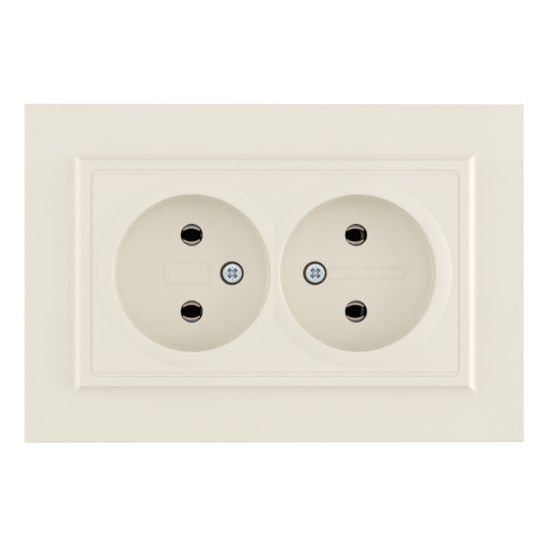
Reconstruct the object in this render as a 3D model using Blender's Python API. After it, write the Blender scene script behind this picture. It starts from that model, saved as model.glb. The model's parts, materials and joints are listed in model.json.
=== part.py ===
"""Duplex flush wall outlet: two round, unearthed sockets under one cover, in a decorative frame.

The wall's surface is the plane y = 0. The front faces -Y, and the mechanism fills a wall box at +Y.
The origin is the middle of the wall box's mouth, and +Z is up. Left and right are as seen from the
front, so left is at -X. Sizes below are millimetres, and finish() scales each piece to metres.
"""

import math

import bmesh
import bpy
from mathutils import Matrix, Vector

METRES = 0.001
GAP = 0.3  # between pieces that touch

# ---- driving dimensions -------------------------------------------------------------------------
PLATE_HALF = (61.7, 41.7)  # outer frame, half its width and height
PIN_SPACING = 19.0  # between the two pins of a plug
WELL_PITCH = 40.8  # between the centres of the two wells
WELL_RADIUS = 19.3
WELL_SIDES = 64  # facets round a well
PIN_HOLE_RADIUS = 2.77
COVER_SCREW_X = 10.3

WELL_X = WELL_PITCH / 2
PIN_Z = PIN_SPACING / 2
SIDES = {"left": -1, "right": 1}
POLES = {"upper": 1, "lower": -1}
LEAVES = {"top": 1, "bottom": -1}

# ---- depths along Y, from the front to the back ---------------------------------------------------
CREST_Y = -13.0  # rim of the wells
FACE_Y = -12.2  # flat face of the cover, and the frame's raised band
MARGIN_Y = FACE_Y + 0.2  # sunk margin round the cover's edge
BORDER_Y = -10.4  # the frame's flat border
COVER_BACK_Y = -10.0
LEDGE_Y = COVER_BACK_Y + GAP  # the frame's ledge, which the cover presses on
FRAME_ROOF_Y = -8.4  # underside of the frame's border
FLOOR_Y = -4.2  # floor of the wells, where a plug's face comes to rest
FLOOR_BACK_Y = -1.4
BRACKET_Y = -1.0  # front of the steel bracket, whose back is on the wall
BASE_FRONT_Y = GAP
BASE_BACK_Y = 25.0
REAR_COVER_Y = (BASE_BACK_Y + GAP, BASE_BACK_Y + GAP + 2.0)

# ---- frame ----------------------------------------------------------------------------------------
RIDGE_HALF = (47.75, 27.75)  # raised band's outer edge
COVE_WIDTH = 2.6
OPENING_HALF = (45.45, 25.4)
OPENING_RADIUS = 1.6
LEDGE_HALF = (42.6, 22.2)  # clear opening inside the ledge
SKIRT = 1.5  # wall that stands on the bracket
FRAME_WALL = 2.0
PLATE_EDGE = 0.4

# ---- cover ----------------------------------------------------------------------------------------
FIELD_HALF = (44.85, 24.4)  # flat raised field inside the sunk margin
FIELD_RADIUS = 1.1
COLLAR_FOOT_RADIUS = 23.25  # where the swelling round a well meets the flat face
CUP_WALL = 1.8
COVER_SCREW_RECESS = 2.97
COVER_SCREW_SEAT_Y = FLOOR_Y + 2.0

# ---- bracket ----------------------------------------------------------------------------------------
BRACKET_HALF = (46.0, 36.0)
WINDOW_HALF = (5.3, 5.15)
BOX_SCREW_PITCH_RADIUS = 30.0
BOX_SCREW_SLOT_WIDTH = 4.6
BOX_SCREW_SLOT_ANGLE = 11.0
CORNER_HOLE = (38.0, 28.0)
CORNER_HOLE_RADIUS = 2.4

# ---- base -------------------------------------------------------------------------------------------
BASE_RADIUS = 29.5
BASE_HALF = (26.0, 21.5)
CHAMBER_HALF = (4.0, 4.3)
CHANNEL_HALF_HEIGHT = 4.6
CHANNEL_HALF_LENGTH = 24.4
CHANNEL_Y = 15.5
RIVET_Z = 17.6

# ---- contacts -----------------------------------------------------------------------------------------
LEAF_THICKNESS = 0.5
LEAF_BEND_RADIUS = 3.6
LEAF_HALF_WIDTH = 2.6
LEAF_HINGE_Y = 16.2
LEAF_RIVET_Y = 18.2
# distance of a leaf's inner face from the pin's axis, along its length from the mouth to the root
LEAF_LINE = (
    (-0.6, 1.68),
    (1.2, 1.56),
    (4.0, 1.45),
    (7.0, 1.62),
    (10.5, 2.10),
    (13.8, 2.45),
    (20.0, 2.45),
)
SPRING_THICKNESS = 0.3
SPRING_HALF_WIDTH = 2.2
LAYER_GAP = 0.25
SPRING_FRONT_Y = 1.2
TAB_INNER = 3.65
TAB_THICKNESS = 0.7
BUS_Y = (20.3, 21.3)
BUS_HALF_LENGTH = 23.9
BUS_CLEARANCE_RADIUS = 2.7  # hole behind each contact, for the end of a pin

# ---- terminals ----------------------------------------------------------------------------------------
TERMINAL_X = 8.0
TERMINAL_Y = 17.3
TERMINAL_FLOOR_Z = PIN_Z + CHANNEL_HALF_HEIGHT
TERMINAL_TAB_Z = (14.4, 15.4)
CLAMP_Z = (17.2, 18.3)
TERMINAL_POCKET_HALF = 4.2

# ---- cover screws ---------------------------------------------------------------------------------------
COVER_SCREW_RADIUS = 1.45
INSERT_Y = (5.0, 10.0)
RETAINER_Y = (3.2, 4.0)

# ---- claws ----------------------------------------------------------------------------------------------
CLAW_SCREW_X = 22.9
CLAW_PIVOT = (27.2, 18.6)
CLAW_HALF_WIDTH = 3.6
CLAW_SHEET = 1.0
CLAW_KNUCKLE = 1.9
CLAW_PIN_RADIUS = 0.9
CLAW_NUT_RADIUS = 2.2
DIMPLE_RADIUS = 4.0
DIMPLE_FLOOR_Y = (1.2, 2.2)


# ---- outlines, as lists of points in one plane ---------------------------------------------------------
def arc(centre, radius, start, end, steps):
    """Points on an arc between two angles in degrees, both ends included."""
    angles = [math.radians(start + (end - start) * i / steps) for i in range(steps + 1)]
    return [(centre[0] + radius * math.cos(a), centre[1] + radius * math.sin(a)) for a in angles]


def circle(radius, steps, centre=(0, 0)):
    return arc(centre, radius, 0, 360, steps)[:-1]


def rectangle(half, centre=(0, 0)):
    corners = ((1, 1), (-1, 1), (-1, -1), (1, -1))
    return [(centre[0] + a * half[0], centre[1] + b * half[1]) for a, b in corners]


def rounded_rectangle(half, radius, steps=4, centre=(0, 0)):
    points = []
    for quarter, (a, b) in enumerate(((1, 1), (-1, 1), (-1, -1), (1, -1))):
        middle = (centre[0] + a * (half[0] - radius), centre[1] + b * (half[1] - radius))
        points += arc(middle, radius, 90 * quarter, 90 * quarter + 90, steps)
    return points


def clipped_circle(radius, half, steps=5):
    """A circle with its four sides cut flat at half[0] and half[1] from its centre."""
    first = math.degrees(math.acos(half[0] / radius))
    last = math.degrees(math.asin(half[1] / radius))
    quarter = arc((0, 0), radius, first, last, steps)
    upper = quarter + [(-a, b) for a, b in reversed(quarter)]
    return upper + [(-a, -b) for a, b in upper]


def ring_sector(radius, width, middle, spread, steps=4):
    """A curved slot with round ends, centred on the angle middle."""
    half = width / 2
    ends = [
        arc((0, 0), radius, angle, angle, 1)[0] for angle in (middle - spread, middle + spread)
    ]
    outer = arc((0, 0), radius + half, middle - spread, middle + spread, steps)
    inner = arc((0, 0), radius - half, middle + spread, middle - spread, steps)
    round_end = arc(ends[1], half, middle + spread, middle + spread + 180, 4)[1:-1]
    round_start = arc(ends[0], half, middle - spread + 180, middle - spread + 360, 4)[1:-1]
    return outer + round_end + inner + round_start


# ---- solids ------------------------------------------------------------------------------------------------
def across_x(outline, x):
    return [Vector((x, a, b)) for a, b in outline]


def across_y(outline, y):
    return [Vector((a, y, b)) for a, b in outline]


def across_z(outline, z):
    return [Vector((a, b, z)) for a, b in outline]


def add_loft(shape, loops, closed=False):
    """Bridges loops of equal length into one solid. In a closed loft the last loop meets the first."""
    made = [[shape.verts.new(point) for point in loop] for loop in loops]
    count = len(made[0])
    pairs = list(zip(made, made[1:] + made[:1])) if closed else list(zip(made, made[1:]))
    for near, far in pairs:
        for i in range(count):
            j = (i + 1) % count
            shape.faces.new((near[i], near[j], far[j], far[i]))
    if not closed:
        shape.faces.new(made[0])
        shape.faces.new(made[-1])
    return shape


def loft(loops, closed=False):
    return add_loft(bmesh.new(), loops, closed)


def add_box(shape, low, high):
    outline = [(low[0], low[2]), (high[0], low[2]), (high[0], high[2]), (low[0], high[2])]
    return add_loft(shape, [across_y(outline, low[1]), across_y(outline, high[1])])


def box(low, high):
    return add_box(bmesh.new(), low, high)


def add_prism_y(shape, outline, front, back):
    return add_loft(shape, [across_y(outline, front), across_y(outline, back)])


def add_turned_y(shape, profile, centre, steps):
    """Turns (radius, y) points round an axis along Y."""
    return add_loft(shape, [across_y(circle(r, steps, centre), y) for r, y in profile])


def add_turned_z(shape, profile, centre, steps):
    """Turns (radius, z) points round an axis along Z."""
    return add_loft(shape, [across_z(circle(r, steps, centre), z) for r, z in profile])


def tidy(shape):
    """Turns every face outwards."""
    bmesh.ops.recalc_face_normals(shape, faces=shape.faces)
    if shape.calc_volume(signed=True) < 0:
        bmesh.ops.reverse_faces(shape, faces=shape.faces)
    return shape


def helper_object(shape):
    mesh = bpy.data.meshes.new("helper")
    tidy(shape).to_mesh(mesh)
    shape.free()
    made = bpy.data.objects.new("helper", mesh)
    bpy.context.scene.collection.objects.link(made)
    return made


def combined(operation, first, second):
    """The solid that a Boolean modifier makes of two shapes, which are used up."""
    target, tool = helper_object(first), helper_object(second)
    modifier = target.modifiers.new("boolean", "BOOLEAN")
    modifier.operation = operation
    modifier.object = tool
    graph = bpy.context.evaluated_depsgraph_get()
    result = bmesh.new()
    result.from_object(target, graph)
    for helper in (target, tool):
        mesh = helper.data
        bpy.data.objects.remove(helper)
        bpy.data.meshes.remove(mesh)
    return result


def cut(shape, tool):
    return combined("DIFFERENCE", shape, tool)


def fuse(shape, other):
    return combined("UNION", shape, other)


def finish(name, shape, material, axis_point=(0, 0, 0)):
    """Puts the shape in the scene in metres, with its origin at axis_point."""
    origin = Vector(axis_point)
    mesh = bpy.data.meshes.new(name)
    tidy(shape).to_mesh(mesh)
    shape.free()
    mesh.transform(Matrix.Scale(METRES, 4) @ Matrix.Translation(-origin))
    mesh.shade_smooth()
    mesh.set_sharp_from_angle(angle=math.radians(30))
    mesh.materials.append(material)
    made = bpy.data.objects.new(name, mesh)
    made.location = origin * METRES
    bpy.context.scene.collection.objects.link(made)
    return made


def make_material(name, colour, roughness, metallic=0.0):
    made = bpy.data.materials.new(name)
    made.use_nodes = True
    shader = made.node_tree.nodes["Principled BSDF"]
    shader.inputs["Base Color"].default_value = (*colour, 1.0)
    shader.inputs["Roughness"].default_value = roughness
    shader.inputs["Metallic"].default_value = metallic
    made.diffuse_color = (*colour, 1.0)
    return made


# ---- front pieces --------------------------------------------------------------------------------------------
def cove(steps=4):
    """Rectangles from the frame's border up to its raised band, along a hollow curve."""
    rise = BORDER_Y - FACE_Y
    sweep = 2 * math.atan(rise / COVE_WIDTH)
    radius = COVE_WIDTH / math.sin(sweep)
    loops = []
    for i in range(steps + 1):
        angle = sweep * i / steps
        outside = COVE_WIDTH - radius * math.sin(angle)
        half = (RIDGE_HALF[0] + outside, RIDGE_HALF[1] + outside)
        loops.append(across_y(rectangle(half), BORDER_Y - radius * (1 - math.cos(angle))))
    return loops


def outer_frame(material):
    inner_edge = (PLATE_HALF[0] - PLATE_EDGE, PLATE_HALF[1] - PLATE_EDGE)
    shape = loft(
        [
            across_y(rectangle(PLATE_HALF), 0),
            across_y(rectangle(PLATE_HALF), BORDER_Y + PLATE_EDGE),
            across_y(rectangle(inner_edge), BORDER_Y),
            *cove(),
        ]
    )
    behind = BRACKET_Y - GAP  # the skirt stops here, on the bracket
    cavity = tuple(half - FRAME_WALL for half in PLATE_HALF)
    skirt = tuple(half + SKIRT for half in LEDGE_HALF)
    hollow = loft(
        [
            across_y(rectangle(cavity), FRAME_ROOF_Y),
            across_y(rectangle(cavity), 1.0),
            across_y(rectangle(skirt), 1.0),
            across_y(rectangle(skirt), FRAME_ROOF_Y),
        ],
        closed=True,
    )
    shape = cut(shape, hollow)
    low, high = (-skirt[0] - 1, behind, -skirt[1] - 1), (skirt[0] + 1, 1, skirt[1] + 1)
    shape = cut(shape, box(low, high))
    shape = cut(shape, add_prism_y(bmesh.new(), rounded_rectangle(LEDGE_HALF, 1.4), FACE_Y - 1, 1))
    rounded = rounded_rectangle(OPENING_HALF, OPENING_RADIUS)
    shape = cut(shape, add_prism_y(bmesh.new(), rounded, FACE_Y - 1, LEDGE_Y))
    return finish("outer_frame", fuse(shape, frame_ribs(cavity, skirt)), material)


def frame_ribs(cavity, skirt):
    """Stiffening ribs between the frame's outer wall and its skirt."""
    half_thickness, bottom = 0.6, -4.0
    ribs = bmesh.new()
    for x in (-30.0, 0.0, 30.0):
        for side in (-1, 1):
            ends = sorted((side * (skirt[1] - 0.4), side * (cavity[1] + 0.4)))
            low = (x - half_thickness, FRAME_ROOF_Y - 0.5, ends[0])
            add_box(ribs, low, (x + half_thickness, bottom, ends[1]))
    for side in (-1, 1):
        ends = sorted((side * (skirt[0] - 0.4), side * (cavity[0] + 0.4)))
        for z in (-12.0, 12.0):
            low = (ends[0], FRAME_ROOF_Y - 0.5, z - half_thickness)
            add_box(ribs, low, (ends[1], bottom, z + half_thickness))
    return ribs


def collar_profile(steps=3):
    """The swelling round a well: flat at the crest, and steepest at its foot."""
    rise = FACE_Y - CREST_Y
    width = COLLAR_FOOT_RADIUS - WELL_RADIUS
    sweep = 2 * math.atan(rise / width)
    bend = width / math.sin(sweep)
    points = [(COLLAR_FOOT_RADIUS, FACE_Y + 1.0)]
    for i in range(steps + 1):
        angle = sweep * (1 - i / steps)
        points.append((WELL_RADIUS + bend * math.sin(angle), CREST_Y + bend * (1 - math.cos(angle))))
    return points


def well_cutter_profile():
    fillet, rim = 0.8, 0.35
    turn = arc((WELL_RADIUS - fillet, FLOOR_Y - fillet), fillet, 90, 0, 2)
    outer = WELL_RADIUS + rim
    return [*turn, (WELL_RADIUS, CREST_Y + rim), (outer, CREST_Y), (outer, CREST_Y - 1)]


def front_cover(material):
    margin = tuple(half - GAP for half in OPENING_HALF)
    shape = bmesh.new()
    add_prism_y(shape, rounded_rectangle(margin, OPENING_RADIUS - GAP), MARGIN_Y, COVER_BACK_Y)
    field = rounded_rectangle(FIELD_HALF, FIELD_RADIUS)
    shape = fuse(shape, add_prism_y(bmesh.new(), field, FACE_Y, COVER_BACK_Y - 0.4))
    for side in SIDES.values():
        centre = (side * WELL_X, 0)
        shape = fuse(shape, add_turned_y(bmesh.new(), collar_profile(), centre, WELL_SIDES))
        cup = [(WELL_RADIUS + CUP_WALL, COVER_BACK_Y - 0.6), (WELL_RADIUS + CUP_WALL, FLOOR_BACK_Y)]
        shape = fuse(shape, add_turned_y(bmesh.new(), cup, centre, WELL_SIDES))
    wells, holes = bmesh.new(), bmesh.new()
    for side in SIDES.values():
        add_turned_y(wells, well_cutter_profile(), (side * WELL_X, 0), WELL_SIDES)
        for pole in POLES.values():
            through = [(PIN_HOLE_RADIUS, FLOOR_Y - 1), (PIN_HOLE_RADIUS, FLOOR_BACK_Y + 1)]
            add_turned_y(holes, through, (side * WELL_X, pole * PIN_Z), 16)
        steps = [
            (COVER_SCREW_RECESS, FLOOR_Y - 1),
            (COVER_SCREW_RECESS, COVER_SCREW_SEAT_Y),
            (COVER_SCREW_RADIUS + GAP, COVER_SCREW_SEAT_Y),
            (COVER_SCREW_RADIUS + GAP, FLOOR_BACK_Y + 1),
        ]
        add_turned_y(holes, steps, (side * COVER_SCREW_X, 0), 16)
    shape = cut(cut(shape, wells), holes)
    return finish("front_cover", shape, material)


# ---- carrier and insulation ------------------------------------------------------------------------------------
def mounting_bracket(material):
    shape = bmesh.new()
    add_prism_y(shape, rounded_rectangle(BRACKET_HALF, 6.0), BRACKET_Y, 0)
    flanges, dimples = bmesh.new(), bmesh.new()
    for side in (-1, 1):
        ends = sorted((side * (BRACKET_HALF[1] - 1), side * BRACKET_HALF[1]))
        add_box(flanges, (-34, BRACKET_Y - 2, ends[0]), (34, BRACKET_Y / 2, ends[1]))
        outside = [(DIMPLE_RADIUS, BRACKET_Y / 2), (DIMPLE_RADIUS, DIMPLE_FLOOR_Y[1])]
        add_turned_y(dimples, outside, (side * CLAW_SCREW_X, 0), 16)
    shape = fuse(fuse(shape, flanges), dimples)
    holes = bmesh.new()
    for side in (-1, 1):
        for pole in POLES.values():
            window = rounded_rectangle(WINDOW_HALF, 0.6, 1, (side * WELL_X, pole * PIN_Z))
            add_prism_y(holes, window, BRACKET_Y - 1, 1)
            corner = circle(CORNER_HOLE_RADIUS, 12, (side * CORNER_HOLE[0], pole * CORNER_HOLE[1]))
            add_prism_y(holes, corner, BRACKET_Y - 1, 1)
        bowl = [
            (DIMPLE_RADIUS - 0.8, BRACKET_Y - 1),
            (DIMPLE_RADIUS - 0.8, DIMPLE_FLOOR_Y[0]),
            (1.5 + GAP, DIMPLE_FLOOR_Y[0]),
            (1.5 + GAP, DIMPLE_FLOOR_Y[1] + 1),
        ]
        add_turned_y(holes, bowl, (side * CLAW_SCREW_X, 0), 16)
        add_prism_y(holes, circle(3.3, 16, (side * COVER_SCREW_X, 0)), BRACKET_Y - 1, 1)
        add_prism_y(holes, circle(1.8, 12, (0, side * RIVET_Z)), BRACKET_Y - 1, 1)
        slot = ring_sector(
            BOX_SCREW_PITCH_RADIUS, BOX_SCREW_SLOT_WIDTH, 90 * side, BOX_SCREW_SLOT_ANGLE
        )
        add_prism_y(holes, slot, BRACKET_Y - 1, 1)
    return finish("mounting_bracket", cut(shape, holes), material)


def socket_base(material):
    shape = bmesh.new()
    add_prism_y(shape, clipped_circle(BASE_RADIUS, BASE_HALF), BASE_FRONT_Y, BASE_BACK_Y)
    added = bmesh.new()
    for side in SIDES.values():
        for pole in POLES.values():
            boss = (WINDOW_HALF[0] - GAP, WINDOW_HALF[1] - GAP)
            outline = rounded_rectangle(boss, 0.5, 1, (side * WELL_X, pole * PIN_Z))
            add_prism_y(added, outline, FLOOR_BACK_Y + GAP, BASE_FRONT_Y + 1)
            lug_x = sorted((side * (BASE_HALF[0] - 0.5), side * (CLAW_PIVOT[0] + 1.7)))
            lug_z = sorted((pole * 4.2, pole * 6.2))
            low = (lug_x[0], CLAW_PIVOT[1] - 2.2, lug_z[0])
            add_box(added, low, (lug_x[1], CLAW_PIVOT[1] + 2.2, lug_z[1]))
    shape = fuse(shape, added)
    for tool in (contact_spaces(), terminal_pockets(), base_bores(), claw_notches()):
        shape = cut(shape, tool)
    return finish("socket_base", shape, material)


def contact_spaces():
    """Four chambers for the contacts, open to the front, and two channels for the bus bars, open to the back."""
    spaces = bmesh.new()
    for pole in POLES.values():
        middle = pole * PIN_Z
        low = (-CHANNEL_HALF_LENGTH, CHANNEL_Y, middle - CHANNEL_HALF_HEIGHT)
        high = (CHANNEL_HALF_LENGTH, BASE_BACK_Y + 1, middle + CHANNEL_HALF_HEIGHT)
        channel = box(low, high)
        chambers = bmesh.new()
        for side in SIDES.values():
            outline = rectangle(CHAMBER_HALF, (side * WELL_X, middle))
            add_prism_y(chambers, outline, FLOOR_BACK_Y - 1, CHANNEL_Y + 0.5)
        joined = fuse(channel, chambers)
        mesh = bpy.data.meshes.new("helper")
        joined.to_mesh(mesh)
        spaces.from_mesh(mesh)
        bpy.data.meshes.remove(mesh)
    return spaces


def terminal_pockets():
    pockets = bmesh.new()
    for side in SIDES.values():
        for pole in POLES.values():
            x = sorted((side * TERMINAL_X - TERMINAL_POCKET_HALF, side * TERMINAL_X + TERMINAL_POCKET_HALF))
            z = sorted((pole * (TERMINAL_FLOOR_Z - 0.05), pole * (BASE_HALF[1] + 1)))
            add_box(pockets, (x[0], TERMINAL_Y - 4.3, z[0]), (x[1], BASE_BACK_Y + 1, z[1]))
    return pockets


def base_bores():
    bores = bmesh.new()
    for side in SIDES.values():
        steps = [
            (3.3, BASE_FRONT_Y - 1),
            (3.3, INSERT_Y[0] - GAP),
            (2.3 + GAP, INSERT_Y[0] - GAP),
            (2.3 + GAP, INSERT_Y[1] + GAP),
            (1.9, INSERT_Y[1] + GAP),
            (1.9, INSERT_Y[1] + 3),
        ]
        add_turned_y(bores, steps, (side * COVER_SCREW_X, 0), 16)
        for pole in POLES.values():
            z = pole * (TERMINAL_FLOOR_Z + 0.5)
            low = pole * (PIN_Z - 1.0)
            profile = sorted(((2.1, z), (2.1, low)), key=lambda point: point[1])
            add_turned_z(bores, profile, (side * TERMINAL_X, TERMINAL_Y), 12)
    for pole in POLES.values():
        through = circle(1.8, 12, (0, pole * RIVET_Z))
        add_prism_y(bores, through, BASE_FRONT_Y - 1, BASE_BACK_Y + 1)
    return bores


def claw_notches():
    """A notch in each side for the claw's foot, nut and screw, the dimple's seat and the pivot pin's holes."""
    notches = bmesh.new()
    for side in SIDES.values():
        x = sorted((side * (CLAW_SCREW_X - 3.6), side * (BASE_HALF[0] + 4)))
        add_box(notches, (x[0], DIMPLE_FLOOR_Y[1] + 1.6, -3.9), (x[1], BASE_BACK_Y + 1, 3.9))
    seats = bmesh.new()
    for side in SIDES.values():
        seat = [(DIMPLE_RADIUS + GAP, BASE_FRONT_Y - 1), (DIMPLE_RADIUS + GAP, DIMPLE_FLOOR_Y[1] + 1.8)]
        add_turned_y(seats, seat, (side * CLAW_SCREW_X, 0), 16)
        pin = [(CLAW_PIN_RADIUS + GAP, -5.9), (CLAW_PIN_RADIUS + GAP, 5.9)]
        add_turned_z(seats, pin, (side * CLAW_PIVOT[0], CLAW_PIVOT[1]), 12)
    return fuse(notches, seats)


def rear_cover(material):
    inset = 1.0
    outline = clipped_circle(BASE_RADIUS - inset, tuple(half - inset for half in BASE_HALF))
    shape = add_prism_y(bmesh.new(), outline, *REAR_COVER_Y)
    holes = bmesh.new()
    front, back = REAR_COVER_Y[0] - 1, REAR_COVER_Y[1] + 1
    for side in SIDES.values():
        x = sorted((side * (CLAW_SCREW_X - 3.6), side * BASE_HALF[0]))
        add_box(holes, (x[0], front, -4.4), (x[1], back, 4.4))
        for pole in POLES.values():
            x = (side * TERMINAL_X - 3.8, side * TERMINAL_X + 3.8)
            z = sorted((pole * (TERMINAL_TAB_Z[1] + 0.2), pole * BASE_HALF[1]))
            add_box(holes, (x[0], front, z[0]), (x[1], back, z[1]))
    for pole in POLES.values():
        add_prism_y(holes, circle(1.8, 12, (0, pole * RIVET_Z)), front, back)
    return finish("rear_cover", cut(shape, holes), material)


# ---- contacts --------------------------------------------------------------------------------------------------------
def bus_outline(pole):
    """The flat bar that joins both sockets of one pole: broad at its ends, with two risers to the terminals."""
    end, half_bar, half_end = BUS_HALF_LENGTH, 2.6, TAB_INNER + TAB_THICKNESS
    end_start = WELL_X - 3.1
    riser_in, riser_out = TERMINAL_X - 2.7, TERMINAL_X + 2.7
    top = TERMINAL_TAB_Z[1] - PIN_Z
    right = [
        (riser_in, half_bar),
        (riser_in, top),
        (riser_out, top),
        (riser_out, half_bar),
        (end_start, half_bar),
        (end_start, half_end),
        (end, half_end),
        (end, -half_end),
        (end_start, -half_end),
        (end_start, -half_bar),
    ]
    left = [(-x, z) for x, z in reversed(right)]
    return [(x, pole * (PIN_Z + z)) for x, z in left + right]


def bus_bar(name, pole, material):
    shape = add_prism_y(bmesh.new(), bus_outline(pole), *BUS_Y)
    tabs, holes = bmesh.new(), bmesh.new()
    inside = (BUS_Y[0] + BUS_Y[1]) / 2
    for side in SIDES.values():
        clearance = [(BUS_CLEARANCE_RADIUS, BUS_Y[0] - 1), (BUS_CLEARANCE_RADIUS, BUS_Y[1] + 1)]
        add_turned_y(holes, clearance, (side * WELL_X, pole * PIN_Z), 16)
        for leaf in LEAVES.values():
            z = sorted(pole * PIN_Z + leaf * d for d in (TAB_INNER, TAB_INNER + TAB_THICKNESS))
            low = (side * WELL_X - 3.1, LEAF_HINGE_Y + 0.3, z[0])
            add_box(tabs, low, (side * WELL_X + 3.1, inside, z[1]))
            hole = [(0.9 + GAP, z[0] - 0.3), (0.9 + GAP, z[1] + 0.3)]
            add_turned_z(holes, hole, (side * WELL_X, LEAF_RIVET_Y), 10)
        z = sorted(pole * height for height in TERMINAL_TAB_Z)
        low = (side * TERMINAL_X - 2.7, TERMINAL_Y - 3.3, z[0])
        add_box(tabs, low, (side * TERMINAL_X + 2.7, inside, z[1]))
        hole = [(1.7 + GAP, z[0] - 0.5), (1.7 + GAP, z[1] + 0.5)]
        add_turned_z(holes, hole, (side * TERMINAL_X, TERMINAL_Y), 12)
    return finish(name, cut(fuse(shape, tabs), holes), material)


def leaf_distance(y):
    """How far the leaf's inner face is from the pin's axis at y, between the points of LEAF_LINE."""
    for (y0, d0), (y1, d1) in zip(LEAF_LINE, LEAF_LINE[1:]):
        if y <= y1:
            return d0 + (d1 - d0) * (y - y0) / (y1 - y0)
    return LEAF_LINE[-1][1]


def leaf_loop(y, distance, half_width, thickness, centre_z, direction, steps=4):
    """One cross-section of a sprung strip: hollow towards the pin at the front, flat at the root."""
    hollow = min(1.0, max(0.0, (14.0 - y) / 5.0))
    inner, outer = [], []
    for i in range(steps + 1):
        x = half_width * (2 * i / steps - 1)
        sag = hollow * (LEAF_BEND_RADIUS - math.sqrt(LEAF_BEND_RADIUS**2 - x**2))
        inner.append(Vector((x, y, centre_z + direction * (distance - sag))))
        outer.append(Vector((x, y, centre_z + direction * (distance + thickness - sag))))
    return inner + outer[::-1]


def sprung_strip(name, material, place, front, offset, half_width, thickness):
    """A contact leaf or its backing spring, from its front end to its root. The place is a side, a pole and a leaf."""
    side, pole, leaf = place
    centre_z = pole * PIN_Z
    stations = [y for y, _ in LEAF_LINE if y >= front]
    loops = [
        leaf_loop(y, leaf_distance(y) + offset, half_width, thickness, centre_z, leaf)
        for y in stations
    ]
    for loop in loops:
        for point in loop:
            point.x += side * WELL_X
    z = sorted(centre_z + leaf * (d + offset) for d in (1.2, 4.2))
    hole = [(0.9 + GAP, z[0]), (0.9 + GAP, z[1])]
    shape = cut(loft(loops), add_turned_z(bmesh.new(), hole, (side * WELL_X, LEAF_RIVET_Y), 10))
    axis = (side * WELL_X, LEAF_HINGE_Y, centre_z + leaf * (LEAF_LINE[-1][1] + LEAF_THICKNESS / 2))
    return finish(name, shape, material, axis)


def contact(side_name, pole_name, leaf_name, materials):
    side, pole, leaf = SIDES[side_name], POLES[pole_name], LEAVES[leaf_name]
    name = f"{pole_name}_{side_name}_{leaf_name}"
    place = (side, pole, leaf)
    size = (LEAF_LINE[0][0], 0, LEAF_HALF_WIDTH, LEAF_THICKNESS)
    sprung_strip(f"contact_leaf_{name}", materials["brass"], place, *size)
    size = (SPRING_FRONT_Y, LEAF_THICKNESS + LAYER_GAP, SPRING_HALF_WIDTH, SPRING_THICKNESS)
    sprung_strip(f"backing_spring_{name}", materials["spring"], place, *size)
    centre_z = pole * PIN_Z
    profile = [(1.1, 1.55), (1.6, 1.75), (1.6, 2.15), (0.9, 2.15), (0.9, TAB_INNER + TAB_THICKNESS)]
    placed = [(r, centre_z + leaf * d) for r, d in profile]
    rivet = add_turned_z(bmesh.new(), placed, (side * WELL_X, LEAF_RIVET_Y), 10)
    finish(f"contact_rivet_{name}", rivet, materials["brass"])


# ---- fasteners and other turned pieces ---------------------------------------------------------------------------------
def screw_profile(head_radius, head_height, radius, length):
    """(radius, distance) from the tip to the top of a pan head, with 0 under the head."""
    point = 0.5
    return [
        (radius - point, -length),
        (radius, -length + point),
        (radius, 0),
        (head_radius, 0),
        (head_radius, head_height * 0.6),
        (head_radius * 0.75, head_height),
    ]


def cross_recess(reach, width, depth, top):
    """Two crossed bars, for a cross-head driver. They lie in X and Y and reach down from top."""
    bars = box((-reach, -width / 2, top - depth), (reach, width / 2, top + 1))
    return fuse(bars, box((-width / 2, -reach, top - depth), (width / 2, reach, top + 1)))


def screw(name, material, head, radius, length, seat, tilt, steps=14):
    """A pan-head screw with its head's underside at seat. Tilts of 0, 90 and 180 degrees face it to +Z, -Y and -Z."""
    shape = add_turned_z(bmesh.new(), screw_profile(*head, radius, length), (0, 0), steps)
    shape = cut(shape, cross_recess(head[0] * 0.55, head[0] * 0.24, head[1] * 0.7, head[1]))
    shape.transform(Matrix.Translation(Vector(seat)) @ Matrix.Rotation(math.radians(tilt), 4, "X"))
    return finish(name, shape, material, seat)


def cover_fixing(side_name, materials):
    """A captive cover screw, the washer that keeps it in the cover, and the insert that it turns in."""
    x = SIDES[side_name] * COVER_SCREW_X
    seat = (x, COVER_SCREW_SEAT_Y, 0)
    name = f"cover_screw_{side_name}"
    screw(name, materials["zinc"], (2.45, 1.5), COVER_SCREW_RADIUS, 11.2, seat, 90)
    rings = (
        (f"screw_retainer_{side_name}", "nylon", 2.9, RETAINER_Y),
        (f"threaded_insert_{side_name}", "brass", 2.3, INSERT_Y),
    )
    for name, material, outer, (front, back) in rings:
        loops = [
            across_y(circle(r, 14, (x, 0)), y)
            for r, y in (
                (COVER_SCREW_RADIUS + GAP, front),
                (outer, front),
                (outer, back),
                (COVER_SCREW_RADIUS + GAP, back),
            )
        ]
        finish(name, loft(loops, closed=True), materials[material], (x, front, 0))


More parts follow.
